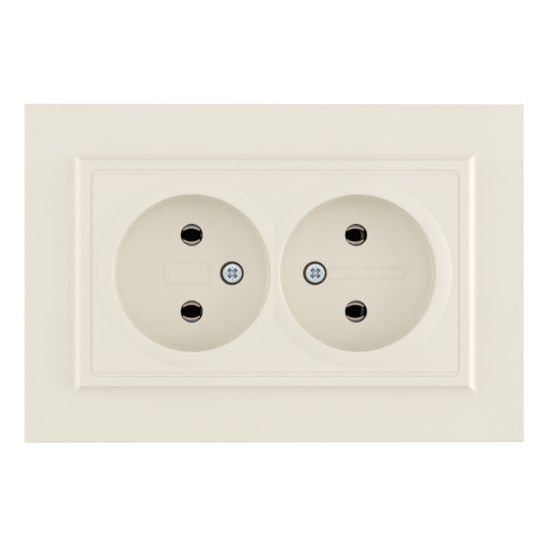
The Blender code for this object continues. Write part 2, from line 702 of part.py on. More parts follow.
def terminal(side_name, pole_name, materials):
    """A terminal screw and the clamp plate that it presses on the wire."""
    side, pole = SIDES[side_name], POLES[pole_name]
    place = f"{pole_name}_{side_name}"
    x = side * TERMINAL_X
    seat_z = pole * (CLAMP_Z[1] + GAP)
    screw(
        f"terminal_screw_{place}",
        materials["zinc"],
        (3.0, 2.0),
        1.7,
        6.4,
        (x, TERMINAL_Y, seat_z),
        90 - 90 * pole,
    )
    z = sorted(pole * height for height in CLAMP_Z)
    plate = box((x - 3.7, TERMINAL_Y - 3.6, z[0]), (x + 3.7, TERMINAL_Y + 3.6, z[1]))
    lips = bmesh.new()
    lip_z = sorted((pole * (CLAMP_Z[0] - 1.0), pole * (CLAMP_Z[0] + 0.5)))
    for edge in (-1, 1):
        lip_x = sorted((x + edge * 3.1, x + edge * 3.7))
        add_box(lips, (lip_x[0], TERMINAL_Y - 3.6, lip_z[0]), (lip_x[1], TERMINAL_Y + 3.6, lip_z[1]))
    hole = [(1.7 + GAP, z[0] - 0.5), (1.7 + GAP, z[1] + 0.5)]
    drill = add_turned_z(bmesh.new(), hole, (x, TERMINAL_Y), 12)
    shape = cut(fuse(plate, lips), drill)
    finish(f"terminal_clamp_{place}", shape, materials["steel"], (x, TERMINAL_Y, seat_z))


def assembly_rivet(pole_name, material):
    """A long rivet through the bracket, the base and the rear cover."""
    front, back = BRACKET_Y - GAP, REAR_COVER_Y[1] + GAP
    profile = [
        (2.0, front - 1.0),
        (2.8, front - 0.4),
        (2.8, front),
        (1.5, front),
        (1.5, back),
        (2.8, back),
        (2.0, back + 1.0),
    ]
    shape = add_turned_y(bmesh.new(), profile, (0, POLES[pole_name] * RIVET_Z), 12)
    finish(f"assembly_rivet_{pole_name}", shape, material)


# ---- claws ---------------------------------------------------------------------------------------------------------------
def claw_outline(side):
    """The claw's profile in X and Y: a knuckle round the pivot, an arm forwards and a foot inwards."""
    px, py = CLAW_PIVOT
    sheet, outer = CLAW_SHEET, CLAW_KNUCKLE
    arm_front, tip_front = 7.0, 4.4
    foot_end = CLAW_SCREW_X - 2.9
    blend = math.degrees(math.asin((outer - sheet) / outer))  # where the knuckle meets the arm and the foot
    points = [
        (px + outer - sheet, arm_front),
        (px + outer - sheet + 0.9, tip_front),
        (px + outer + 0.75, tip_front + 0.5),
        (px + outer, arm_front + 0.4),
        *arc((px, py), outer, 0, 90, 6),
        (foot_end, py + outer),
        (foot_end, py + outer - sheet),
        *arc((px, py), outer, 180 - blend, 270 + blend, 6),
    ]
    return [(side * x, y) for x, y in points]


def claw(side_name, materials):
    side = SIDES[side_name]
    px, py = side * CLAW_PIVOT[0], CLAW_PIVOT[1]
    outline = claw_outline(side)
    shape = loft([across_z(outline, -CLAW_HALF_WIDTH), across_z(outline, CLAW_HALF_WIDTH)])
    holes = bmesh.new()
    pin = [(CLAW_PIN_RADIUS + GAP, -CLAW_HALF_WIDTH - 1), (CLAW_PIN_RADIUS + GAP, CLAW_HALF_WIDTH + 1)]
    add_turned_z(holes, pin, (px, py), 12)
    slot_x = sorted((side * (CLAW_SCREW_X - 4), side * (CLAW_SCREW_X + 2.6)))
    add_box(holes, (slot_x[0], py + 0.6, -1.8), (slot_x[1], py + 3, 1.8))
    notch_x = sorted((side * (CLAW_PIVOT[0] + 0.6), side * (CLAW_PIVOT[0] + 4)))
    for z in (-1.8, 1.8):
        add_box(holes, (notch_x[0], 3, z - 0.7), (notch_x[1], 6.6, z + 0.7))
    shape = cut(shape, holes)
    finish(f"claw_{side_name}", shape, materials["steel"], (px, py, 0))
    pin = [(CLAW_PIN_RADIUS, -5.6), (CLAW_PIN_RADIUS, 5.6)]
    finish(f"claw_pin_{side_name}", add_turned_z(bmesh.new(), pin, (px, py), 12), materials["steel"])


def claw_drive(side_name, materials):
    """The screw that spreads a claw, and the barrel nut that it draws against the claw's foot."""
    side = SIDES[side_name]
    x = side * CLAW_SCREW_X
    seat = (x, DIMPLE_FLOOR_Y[0] - GAP, 0)
    screw(f"claw_screw_{side_name}", materials["zinc"], (2.8, 1.8), 1.5, 24.6, seat, 90)
    y = CLAW_PIVOT[1] + CLAW_KNUCKLE + GAP + CLAW_NUT_RADIUS
    barrel = [(CLAW_NUT_RADIUS, -3.4), (CLAW_NUT_RADIUS, 3.4)]
    shape = add_turned_z(bmesh.new(), barrel, (x, y), 12)
    thread = [(1.5 + GAP, y - 4), (1.5 + GAP, y + 4)]
    shape = cut(shape, add_turned_y(bmesh.new(), thread, (x, 0), 12))
    finish(f"claw_nut_{side_name}", shape, materials["steel"], (x, y, 0))


def main():
    for old in list(bpy.data.objects):
        bpy.data.objects.remove(old)
    materials = {
        "cream": make_material("cream_plastic", (0.77, 0.74, 0.66), 0.32),
        "black": make_material("black_plastic", (0.03, 0.03, 0.03), 0.5),
        "nylon": make_material("nylon", (0.8, 0.8, 0.76), 0.5),
        "steel": make_material("galvanised_steel", (0.6, 0.61, 0.62), 0.4, 1.0),
        "zinc": make_material("bright_zinc", (0.72, 0.76, 0.8), 0.28, 1.0),
        "spring": make_material("spring_steel", (0.45, 0.45, 0.46), 0.35, 1.0),
        "brass": make_material("brass", (0.6, 0.5, 0.36), 0.3, 1.0),
    }
    front_cover(materials["cream"])
    outer_frame(materials["cream"])
    mounting_bracket(materials["steel"])
    socket_base(materials["black"])
    rear_cover(materials["black"])
    for pole_name, pole in POLES.items():
        bus_bar(f"bus_bar_{pole_name}", pole, materials["brass"])
        assembly_rivet(pole_name, materials["steel"])
        for side_name in SIDES:
            terminal(side_name, pole_name, materials)
            for leaf_name in LEAVES:
                contact(side_name, pole_name, leaf_name, materials)
    for side_name in SIDES:
        cover_fixing(side_name, materials)
        claw(side_name, materials)
        claw_drive(side_name, materials)


main()
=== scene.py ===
"""The looks of the duplex wall outlet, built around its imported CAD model.

Shapes are worked out in millimetres in the CAD model's frame and scaled to metres as each piece is made:
the wall's surface is y = 0, the front faces -Y and +Z is up. Main sizes and places are read from the frame.
"""

import json
import math

import bmesh
import bpy
from mathutils import Matrix, Vector

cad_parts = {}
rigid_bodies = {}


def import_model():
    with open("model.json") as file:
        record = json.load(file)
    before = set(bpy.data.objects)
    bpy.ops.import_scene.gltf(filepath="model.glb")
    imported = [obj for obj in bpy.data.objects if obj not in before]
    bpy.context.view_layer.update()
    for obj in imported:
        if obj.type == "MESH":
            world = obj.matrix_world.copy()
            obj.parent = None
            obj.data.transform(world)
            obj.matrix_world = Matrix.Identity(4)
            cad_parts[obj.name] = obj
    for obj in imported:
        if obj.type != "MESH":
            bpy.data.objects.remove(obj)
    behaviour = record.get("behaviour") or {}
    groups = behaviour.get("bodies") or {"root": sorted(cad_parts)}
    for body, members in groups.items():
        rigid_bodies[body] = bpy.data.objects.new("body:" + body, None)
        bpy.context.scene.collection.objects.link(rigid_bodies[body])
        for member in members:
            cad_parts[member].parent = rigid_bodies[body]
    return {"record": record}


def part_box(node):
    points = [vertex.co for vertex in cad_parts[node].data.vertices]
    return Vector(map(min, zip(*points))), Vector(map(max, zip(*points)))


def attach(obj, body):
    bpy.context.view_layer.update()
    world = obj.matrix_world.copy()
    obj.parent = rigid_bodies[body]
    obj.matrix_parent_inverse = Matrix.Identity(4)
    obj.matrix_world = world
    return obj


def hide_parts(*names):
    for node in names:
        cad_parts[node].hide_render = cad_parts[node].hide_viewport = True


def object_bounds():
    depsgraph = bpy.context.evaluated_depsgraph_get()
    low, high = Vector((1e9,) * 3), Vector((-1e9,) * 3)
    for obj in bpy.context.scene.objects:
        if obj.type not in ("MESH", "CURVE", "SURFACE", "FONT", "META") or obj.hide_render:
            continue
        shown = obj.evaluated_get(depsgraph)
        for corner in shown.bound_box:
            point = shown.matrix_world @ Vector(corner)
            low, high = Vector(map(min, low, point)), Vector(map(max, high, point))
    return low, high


for old in list(bpy.data.objects):
    bpy.data.objects.remove(old)

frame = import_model()
CAD_BOX = [list(corner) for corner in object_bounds()]

METRES = 0.001
SIDES = {"left": -1, "right": 1}
POLES = {"upper": 1, "lower": -1}
LEAVES = {"top": 1, "bottom": -1}

RECORD = frame["record"]
BODY_OF = {node: body for body, nodes in RECORD["behaviour"]["bodies"].items() for node in nodes}
SLOT_OF = {part["node"]: part["material_slot"] for part in RECORD["subparts"]}


# ---- sizes read from the frame, in millimetres ---------------------------------------------------
def low(node):
    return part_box(node)[0] / METRES


def high(node):
    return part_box(node)[1] / METRES


def middle(node):
    return (low(node) + high(node)) / 2


PLATE_HALF = (high("outer_frame").x, high("outer_frame").z)
FACE_Y = low("outer_frame").y
CREST_Y = low("front_cover").y
FLOOR_BACK_Y = high("front_cover").y
BRACKET_HALF = (high("mounting_bracket").x, high("mounting_bracket").z)
BASE_HALF_HEIGHT = high("socket_base").z
BASE_BACK_Y = high("socket_base").y
REAR_COVER_Y = (low("rear_cover").y, high("rear_cover").y)
WELL_X = middle("contact_leaf_upper_right_top").x
PIN_Z = (middle("contact_rivet_upper_right_top").z + middle("contact_rivet_upper_right_bottom").z) / 2
COVER_SCREW_X = middle("cover_screw_right").x
TERMINAL_X, TERMINAL_Y = middle("terminal_screw_upper_right").x, middle("terminal_screw_upper_right").y
CLAW_SCREW_X = middle("claw_screw_right").x
CLAW_PIVOT = (middle("claw_pin_right").x, middle("claw_pin_right").y)
RIVET_Z = middle("assembly_rivet_upper").z
LEAF_RIVET_Y = middle("contact_rivet_upper_right_top").y
RETAINER_Y = (low("screw_retainer_left").y, high("screw_retainer_left").y)
INSERT_Y = (low("threaded_insert_left").y, high("threaded_insert_left").y)
BUS_Y = (high("bus_bar_upper").y - 1.0, high("bus_bar_upper").y)

# ---- sizes of the moulded front ------------------------------------------------------------------
GAP = 0.3
HOLES_WITHIN = 30.0  # of the middle of the cover
WELL_RADIUS = 19.3
COLLAR_FOOT_RADIUS = 23.25
CUP_WALL = 1.8
PIN_HOLE_RADIUS = 2.77
SCREW_RECESS_RADIUS = 2.97
MARGIN_Y = FACE_Y + 0.2
COVER_PLAY = 0.015  # between the cover's edge and the frame
RECESS_SHIFT = -0.14  # of the screw recesses from the screws, along X
BORDER_Y = FACE_Y + 1.8
COVER_BACK_Y = FACE_Y + 2.2
LEDGE_Y = COVER_BACK_Y + GAP
FRAME_ROOF_Y = FACE_Y + 3.8
FLOOR_Y = FLOOR_BACK_Y - 2.8
SCREW_SEAT_Y = FLOOR_Y + 2.0
RIDGE_HALF = (47.75, 27.75)
COVE_WIDTH = 2.6
OPENING_HALF = (45.45, 25.4)
OPENING_RADIUS = 1.6
LEDGE_HALF = (42.6, 22.2)
FIELD_HALF = (44.85, 24.4)
FIELD_RADIUS = 1.1
FRAME_WALL = 2.0
SKIRT = 1.5

# ---- sizes behind the front ----------------------------------------------------------------------
BRACKET_SHEET = 1.0
WINDOW_HALF = (5.3, 5.15)
BOX_SCREW_CIRCLE = 30.0
BASE_RADIUS = 29.5
BASE_HALF_WIDTH = 26.0
BASE_FRONT_Y = GAP
CHAMBER_HALF = (4.0, 4.3)
CHANNEL_HALF_HEIGHT = 4.6
CHANNEL_HALF_LENGTH = 24.4
CHANNEL_Y = 15.5
TERMINAL_FLOOR_Z = PIN_Z + CHANNEL_HALF_HEIGHT
TERMINAL_TAB_Z = (14.4, 15.4)
CLAMP_Z = (17.2, 18.3)
TAB_INNER, TAB_THICKNESS = 3.65, 0.7
BUS_CLEARANCE_RADIUS = 2.7
LEAF_THICKNESS = 0.5
LEAF_BEND_RADIUS = 3.6
LEAF_ROOT_Y = 20.0
# distance of a leaf's inner face from the pin's axis, along its length from the mouth to the root
LEAF_LINE = (
    (-0.6, 1.68),
    (1.2, 1.56),
    (4.0, 1.45),
    (7.0, 1.62),
    (10.5, 2.10),
    (13.8, 2.45),
    (LEAF_ROOT_Y, 2.45),
)
SPRING_FRONT_Y = 1.2
SPRING_THICKNESS = 0.3
LAYER_GAP = 0.25
CLAW_HALF_WIDTH = 3.6
CLAW_SHEET = 1.0
CLAW_KNUCKLE = 1.9
DIMPLE_RADIUS = 4.0
DIMPLE_FLOOR_Y = (1.2, 2.2)
COARSE_PITCH, FINE_PITCH = 0.6, 0.5  # threads of the terminal screws, and of the others


# ---- outlines, as lists of points in one plane ---------------------------------------------------
def arc(centre, radius, start, end, steps):
    """Points on an arc between two angles in degrees, both ends included."""
    angles = [math.radians(start + (end - start) * i / steps) for i in range(steps + 1)]
    return [(centre[0] + radius * math.cos(a), centre[1] + radius * math.sin(a)) for a in angles]


def circle(radius, steps, centre=(0, 0)):
    return arc(centre, radius, 0, 360, steps)[:-1]


def rectangle(half, centre=(0, 0)):
    corners = ((1, 1), (-1, 1), (-1, -1), (1, -1))
    return [(centre[0] + a * half[0], centre[1] + b * half[1]) for a, b in corners]


def rounded_rectangle(half, radius, steps=8, centre=(0, 0)):
    points = []
    for quarter, (a, b) in enumerate(((1, 1), (-1, 1), (-1, -1), (1, -1))):
        corner = (centre[0] + a * (half[0] - radius), centre[1] + b * (half[1] - radius))
        points += arc(corner, radius, 90 * quarter, 90 * quarter + 90, steps)
    return points


def clipped_circle(radius, half, steps=24):
    """A circle with its four sides cut flat at half[0] and half[1] from its centre."""
    first = math.degrees(math.acos(half[0] / radius))
    last = math.degrees(math.asin(half[1] / radius))
    quarter = arc((0, 0), radius, first, last, steps)
    upper = quarter + [(-a, b) for a, b in reversed(quarter)]
    return upper + [(-a, -b) for a, b in upper]


def ring_sector(radius, width, middle_angle, spread, steps=16):
    """A curved slot with round ends, centred on the angle middle_angle."""
    half, first, last = width / 2, middle_angle - spread, middle_angle + spread
    start, end = (arc((0, 0), radius, angle, angle, 1)[0] for angle in (first, last))
    outer = arc((0, 0), radius + half, first, last, steps)
    inner = arc((0, 0), radius - half, last, first, steps)
    round_end = arc(end, half, last, last + 180, 12)[1:-1]
    round_start = arc(start, half, first + 180, first + 360, 12)[1:-1]
    return outer + round_end + inner + round_start


# ---- solids --------------------------------------------------------------------------------------
def across_y(outline, y):
    return [Vector((a, y, b)) for a, b in outline]


def across_z(outline, z):
    return [Vector((a, b, z)) for a, b in outline]


def add_loft(shape, loops, closed=False):
    """Bridges loops of equal length into one solid. In a closed loft the last loop meets the first."""
    made = [[shape.verts.new(point) for point in loop] for loop in loops]
    count = len(made[0])
    pairs = list(zip(made, made[1:] + made[:1])) if closed else list(zip(made, made[1:]))
    for near, far in pairs:
        for i in range(count):
            j = (i + 1) % count
            shape.faces.new((near[i], near[j], far[j], far[i]))
    if not closed:
        shape.faces.new(made[0])
        shape.faces.new(made[-1])
    return shape


def loft(loops, closed=False):
    return add_loft(bmesh.new(), loops, closed)


def add_box(shape, a, b):
    outline = [(a[0], a[2]), (b[0], a[2]), (b[0], b[2]), (a[0], b[2])]
    return add_loft(shape, [across_y(outline, a[1]), across_y(outline, b[1])])


def box(a, b):
    return add_box(bmesh.new(), a, b)


def add_prism(shape, outline, front, back):
    return add_loft(shape, [across_y(outline, front), across_y(outline, back)])


def prism(outline, front, back):
    return add_prism(bmesh.new(), outline, front, back)


def add_turned_y(shape, profile, centre, steps):
    """Turns (radius, y) points round an axis along Y."""
    return add_loft(shape, [across_y(circle(r, steps, centre), y) for r, y in profile])


def add_turned_z(shape, profile, centre, steps):
    """Turns (radius, z) points round an axis along Z."""
    return add_loft(shape, [across_z(circle(r, steps, centre), z) for r, z in profile])


def tidy(shape):
    """Turns every face outwards."""
    bmesh.ops.recalc_face_normals(shape, faces=shape.faces)
    if shape.calc_volume(signed=True) < 0:
        bmesh.ops.reverse_faces(shape, faces=shape.faces)
    return shape


def helper_object(shape):
    mesh = bpy.data.meshes.new("helper")
    tidy(shape).to_mesh(mesh)
    shape.free()
    made = bpy.data.objects.new("helper", mesh)
    bpy.context.scene.collection.objects.link(made)
    return made


def evaluated(target):
    """The shape that an object's modifiers make of it. The object is removed."""
    result = bmesh.new()
    result.from_object(target, bpy.context.evaluated_depsgraph_get())
    mesh = target.data
    bpy.data.objects.remove(target)
    bpy.data.meshes.remove(mesh)
    return result


def combined(operation, first, second):
    """The solid that a Boolean modifier makes of two shapes, which are used up."""
    target, tool = helper_object(first), helper_object(second)
    modifier = target.modifiers.new("boolean", "BOOLEAN")
    modifier.operation = operation
    modifier.object = tool
    result = evaluated(target)
    mesh = tool.data
    bpy.data.objects.remove(tool)
    bpy.data.meshes.remove(mesh)
    return result


def cut(shape, tool):
    return combined("DIFFERENCE", shape, tool)


def fuse(shape, other):
    return combined("UNION", shape, other)


def softened(shape, width, segments=3, angle=38):
    """Rounds every edge sharper than the angle."""
    target = helper_object(shape)
    modifier = target.modifiers.new("bevel", "BEVEL")
    modifier.width = width
    modifier.segments = segments
    modifier.limit_method = "ANGLE"
    modifier.angle_limit = math.radians(angle)
    modifier.miter_outer = "MITER_ARC"
    return evaluated(target)


def add_piece(node, shape, bevel=0.0, sharp=35, axis=None):
    """The fine piece that stands for a CAD node, on the node's body and in the node's material."""
    if bevel:
        shape = softened(shape, bevel)
    bmesh.ops.remove_doubles(shape, verts=shape.verts, dist=1e-5)
    bmesh.ops.dissolve_degenerate(shape, edges=shape.edges, dist=1e-5)
    mesh = bpy.data.meshes.new(node + "_fine")
    tidy(shape).to_mesh(mesh)
    shape.free()
    mesh.transform(Matrix.Scale(METRES, 4))
    mesh.shade_smooth()
    mesh.set_sharp_from_angle(angle=math.radians(sharp))
    mesh.materials.append(MATERIALS[SLOT_OF[node]])
    made = bpy.data.objects.new(node + "_fine", mesh)
    bpy.context.scene.collection.objects.link(made)
    normals = made.modifiers.new("normals", "WEIGHTED_NORMAL")
    normals.keep_sharp = True
    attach(made, BODY_OF[node])
    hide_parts(node)
    return made


# ---- materials -----------------------------------------------------------------------------------
def noise(tree, coordinates, scale, detail=3.0, stretch=None):
    """A noise texture with scale given per metre, optionally stretched along one axis."""
    texture = tree.nodes.new("ShaderNodeTexNoise")
    texture.inputs["Scale"].default_value = scale
    texture.inputs["Detail"].default_value = detail
    if stretch:
        mapping = tree.nodes.new("ShaderNodeMapping")
        mapping.inputs["Scale"].default_value = stretch
        tree.links.new(coordinates, mapping.inputs["Vector"])
        coordinates = mapping.outputs["Vector"]
    tree.links.new(coordinates, texture.inputs["Vector"])
    return texture.outputs["Fac"]


def spread(tree, value, low_end, high_end):
    """Maps a noise's middle range to the two ends."""
    node = tree.nodes.new("ShaderNodeMapRange")
    node.inputs["From Min"].default_value = 0.3
    node.inputs["From Max"].default_value = 0.7
    node.inputs["To Min"].default_value = low_end
    node.inputs["To Max"].default_value = high_end
    tree.links.new(value, node.inputs["Value"])
    return node.outputs["Result"]


def tinted(tree, value, first, second):
    """A colour between two, by a noise."""
    ramp = tree.nodes.new("ShaderNodeValToRGB")
    ramp.color_ramp.elements[0].position = 0.35
    ramp.color_ramp.elements[1].position = 0.65
    ramp.color_ramp.elements[0].color = (*first, 1.0)
    ramp.color_ramp.elements[1].color = (*second, 1.0)
    tree.links.new(value, ramp.inputs["Fac"])
    return ramp.outputs["Color"]


def make_material(name, colours, roughness, metallic, tint_scale, grain_scale, grain_height, stretch=None):
    """A material with drifting colour and roughness and a fine grain. Scales per metre, height in metres."""
    made = bpy.data.materials.new(name)
    made.use_nodes = True
    tree = made.node_tree
    shader = tree.nodes["Principled BSDF"]
    shader.inputs["Metallic"].default_value = metallic
    place = tree.nodes.new("ShaderNodeTexCoord").outputs["Object"]
    tint = noise(tree, place, tint_scale, 2.0, stretch)
    tree.links.new(tinted(tree, tint, *colours), shader.inputs["Base Color"])
    grain = noise(tree, place, grain_scale, 4.0, stretch)
    tree.links.new(spread(tree, grain, *roughness), shader.inputs["Roughness"])
    bump = tree.nodes.new("ShaderNodeBump")
    bump.inputs["Strength"].default_value = 1.0
    bump.inputs["Distance"].default_value = grain_height
    tree.links.new(grain, bump.inputs["Height"])
    tree.links.new(bump.outputs["Normal"], shader.inputs["Normal"])
    return made


# painted shade: the dark brown colour painted inside the holes in the well floors
HOLE_SHADE = (0.16, 0.12, 0.06)
# painted shade: the colour painted into the recesses of the zinc screw heads
RECESS_SHADE = (0.15, 0.25, 0.34)
RECESS_REACH = 0.9


def paint_hole_shade(made):
    """Paints dark brown shade into a material inside the holes in the well floors, darker with depth behind
    the floor's front.
    """
    tree = made.node_tree
    shader = tree.nodes["Principled BSDF"]
    place = tree.nodes.new("ShaderNodeTexCoord").outputs["Object"]
    split = tree.nodes.new("ShaderNodeSeparateXYZ")
    tree.links.new(place, split.inputs["Vector"])
    flat = tree.nodes.new("ShaderNodeVectorMath")
    flat.operation = "MULTIPLY"
    flat.inputs[1].default_value = (1, 0, 1)
    tree.links.new(place, flat.inputs[0])
    length = tree.nodes.new("ShaderNodeVectorMath")
    length.operation = "LENGTH"
    tree.links.new(flat.outputs["Vector"], length.inputs[0])
    depth = tree.nodes.new("ShaderNodeMapRange")
    depth.inputs["From Min"].default_value = (FLOOR_Y + 0.15) * METRES
    depth.inputs["From Max"].default_value = (FLOOR_Y + 0.8) * METRES
    tree.links.new(split.outputs["Y"], depth.inputs["Value"])
    near = tree.nodes.new("ShaderNodeMath")
    near.operation = "LESS_THAN"
    near.inputs[1].default_value = HOLES_WITHIN * METRES
    tree.links.new(length.outputs["Value"], near.inputs[0])
    factor = tree.nodes.new("ShaderNodeMath")
    factor.operation = "MULTIPLY"
    tree.links.new(depth.outputs["Result"], factor.inputs[0])
    tree.links.new(near.outputs["Value"], factor.inputs[1])
    mix = tree.nodes.new("ShaderNodeMix")
    mix.data_type = "RGBA"
    mix.inputs[7].default_value = (*HOLE_SHADE, 1.0)
    tree.links.new(factor.outputs["Value"], mix.inputs[0])
    tree.links.new(shader.inputs["Base Color"].links[0].from_socket, mix.inputs[6])
    tree.links.new(mix.outputs[2], shader.inputs["Base Color"])
    return made


def shade_recesses(made, reach, shade):
    """Paints shade into a material's colour where something close stands over it, as in the recess of a screw
    head.
    """
    tree = made.node_tree
    shader = tree.nodes["Principled BSDF"]
    occlusion = tree.nodes.new("ShaderNodeAmbientOcclusion")
    occlusion.samples = 8
    occlusion.only_local = True
    occlusion.inputs["Distance"].default_value = reach * METRES
    openness = tree.nodes.new("ShaderNodeMapRange")
    openness.inputs["From Min"].default_value = 0.45
    openness.inputs["From Max"].default_value = 0.95
    tree.links.new(occlusion.outputs["AO"], openness.inputs["Value"])
    mix = tree.nodes.new("ShaderNodeMix")
    mix.data_type = "RGBA"
    mix.inputs[6].default_value = (*shade, 1.0)
    tree.links.new(openness.outputs["Result"], mix.inputs[0])
    tree.links.new(shader.inputs["Base Color"].links[0].from_socket, mix.inputs[7])
    tree.links.new(mix.outputs[2], shader.inputs["Base Color"])
    return made


def make_materials():
    """One material for each of the record's slots."""
    made = {}
    cream = ((0.845, 0.794, 0.672), (0.855, 0.804, 0.684))
    # the cream plastic gets painted shade inside the holes in the well floors
    made["cream_plastic"] = paint_hole_shade(
        make_material("cream_plastic", cream, (0.28, 0.36), 0.0, 60, 4200, 4e-6)
    )
    black = ((0.016, 0.016, 0.017), (0.024, 0.023, 0.023))
    made["black_plastic"] = make_material("black_plastic", black, (0.42, 0.58), 0.0, 300, 5200, 9e-6)
    nylon = ((0.78, 0.77, 0.71), (0.83, 0.82, 0.77))
    made["nylon"] = make_material("nylon", nylon, (0.38, 0.5), 0.0, 400, 3000, 4e-6)
    steel = ((0.50, 0.52, 0.54), (0.66, 0.68, 0.70))
    made["galvanised_steel"] = make_material("galvanised_steel", steel, (0.28, 0.46), 1.0, 420, 1900, 3e-6)
    zinc = ((0.70, 0.76, 0.78), (0.84, 0.87, 0.86))
    # the zinc gets painted shade in the recesses of the screw heads
    made["bright_zinc"] = shade_recesses(
        make_material("bright_zinc", zinc, (0.16, 0.3), 1.0, 900, 3800, 2e-6), RECESS_REACH, RECESS_SHADE
    )
    spring = ((0.33, 0.33, 0.34), (0.46, 0.46, 0.47))
    made["spring_steel"] = make_material(
        "spring_steel", spring, (0.24, 0.36), 1.0, 500, 2600, 2e-6, (8.0, 1.0, 1.0)
    )
    brass = ((0.54, 0.45, 0.32), (0.66, 0.56, 0.42))
    made["brass"] = make_material("brass", brass, (0.22, 0.36), 1.0, 350, 2600, 2e-6, (8.0, 1.0, 1.0))
    return made


MATERIALS = make_materials()


# ---- front mouldings -----------------------------------------------------------------------------
def edge_loops(half, y, outline, radius, steps=5):
    """Loops that round a plate's front edge, from side to face. outline(half) makes a loop's points."""
    loops = []
    for i in range(steps + 1):
        angle = math.radians(90 * i / steps)
        inset = radius * (1 - math.cos(angle))
        smaller = (half[0] - inset, half[1] - inset)
        loops.append(across_y(outline(smaller), y + radius * (1 - math.sin(angle))))
    return loops


def mitred(half, corner=0.22, steps=3):
    return rounded_rectangle(half, corner, steps)


def cove(steps=14):
    """Loops from the frame's border up to its raised band, along a hollow curve that starts flat."""
    rise = BORDER_Y - FACE_Y
    sweep = 2 * math.atan(rise / COVE_WIDTH)
    radius = COVE_WIDTH / math.sin(sweep)
    loops = []
    for i in range(steps + 1):
        angle = sweep * i / steps
        outside = COVE_WIDTH - radius * math.sin(angle)
        half = (RIDGE_HALF[0] + outside, RIDGE_HALF[1] + outside)
        loops.append(across_y(mitred(half), BORDER_Y - radius * (1 - math.cos(angle))))
    return loops


def outer_frame():
    shape = loft(
        [
            across_y(mitred(PLATE_HALF), 0),
            *edge_loops(PLATE_HALF, BORDER_Y, mitred, 0.35),
            *cove(),
        ]
    )
    cavity = tuple(half - FRAME_WALL for half in PLATE_HALF)
    skirt = tuple(half + SKIRT for half in LEDGE_HALF)
    loops = [(cavity, FRAME_ROOF_Y), (cavity, 1.0), (skirt, 1.0), (skirt, FRAME_ROOF_Y)]
    shape = cut(shape, loft([across_y(rectangle(half), y) for half, y in loops], closed=True))
    behind = -BRACKET_SHEET - GAP
    shape = cut(shape, box((-skirt[0] - 1, behind, -skirt[1] - 1), (skirt[0] + 1, 1, skirt[1] + 1)))
    shape = fuse(shape, frame_ribs(cavity, skirt))
    shape = cut(shape, prism(rounded_rectangle(LEDGE_HALF, 1.4), FACE_Y - 1, 1))
    rounding = ((0.3, -0.15), (0.15, 0.0), (0.04, 0.05), (0.0, 0.15), (0.0, LEDGE_Y - FACE_Y))
    opening = []
    for flare, depth in rounding:
        half = (OPENING_HALF[0] + flare, OPENING_HALF[1] + flare)
        opening.append(across_y(rounded_rectangle(half, OPENING_RADIUS + flare, 12), FACE_Y + depth))
    add_piece("outer_frame", cut(shape, loft(opening)), sharp=24)


def frame_ribs(cavity, skirt):
    """Stiffening ribs between the frame's outer wall and its skirt."""
    half, top, bottom = 0.6, FRAME_ROOF_Y - 0.5, -4.0
    ribs = bmesh.new()
    for side in (-1, 1):
        ends = sorted((side * (skirt[1] - 0.4), side * (cavity[1] + 0.4)))
        for x in (-30.0, 0.0, 30.0):
            add_box(ribs, (x - half, top, ends[0]), (x + half, bottom, ends[1]))
        ends = sorted((side * (skirt[0] - 0.4), side * (cavity[0] + 0.4)))
        for z in (-12.0, 12.0):
            add_box(ribs, (ends[0], top, z - half), (ends[1], bottom, z + half))
    return ribs


def collar_profile(steps=12):
    """The swelling round a well: flat at the crest, and steepest at its foot."""
    rise = FACE_Y - CREST_Y
    width = COLLAR_FOOT_RADIUS - WELL_RADIUS
    sweep = 2 * math.atan(rise / width)
    bend = width / math.sin(sweep)
    points = [(COLLAR_FOOT_RADIUS, FACE_Y + 1.0)]
    for i in range(steps + 1):
        angle = sweep * (1 - i / steps)
        points.append((WELL_RADIUS + bend * math.sin(angle), CREST_Y + bend * (1 - math.cos(angle))))
    return points


def well_profile(fillet=0.8, rim=0.42):
    """The cutter for a well: a filleted floor, a plain wall and a rounded rim."""
    floor = arc((WELL_RADIUS - fillet, FLOOR_Y - fillet), fillet, 90, 0, 9)
    lip = arc((WELL_RADIUS + rim, CREST_Y + rim), rim, 180, 268, 9)
    return [*floor, *lip, (WELL_RADIUS + rim, CREST_Y - 1)]


def hole_profile(radius, front, back, rim=0.14):
    """The cutter for a through hole with a broken front edge."""
    lip = arc((radius + rim, front + rim), rim, 268, 180, 4)
    return [(radius + rim, front - 1), *lip, (radius, back + 1)]


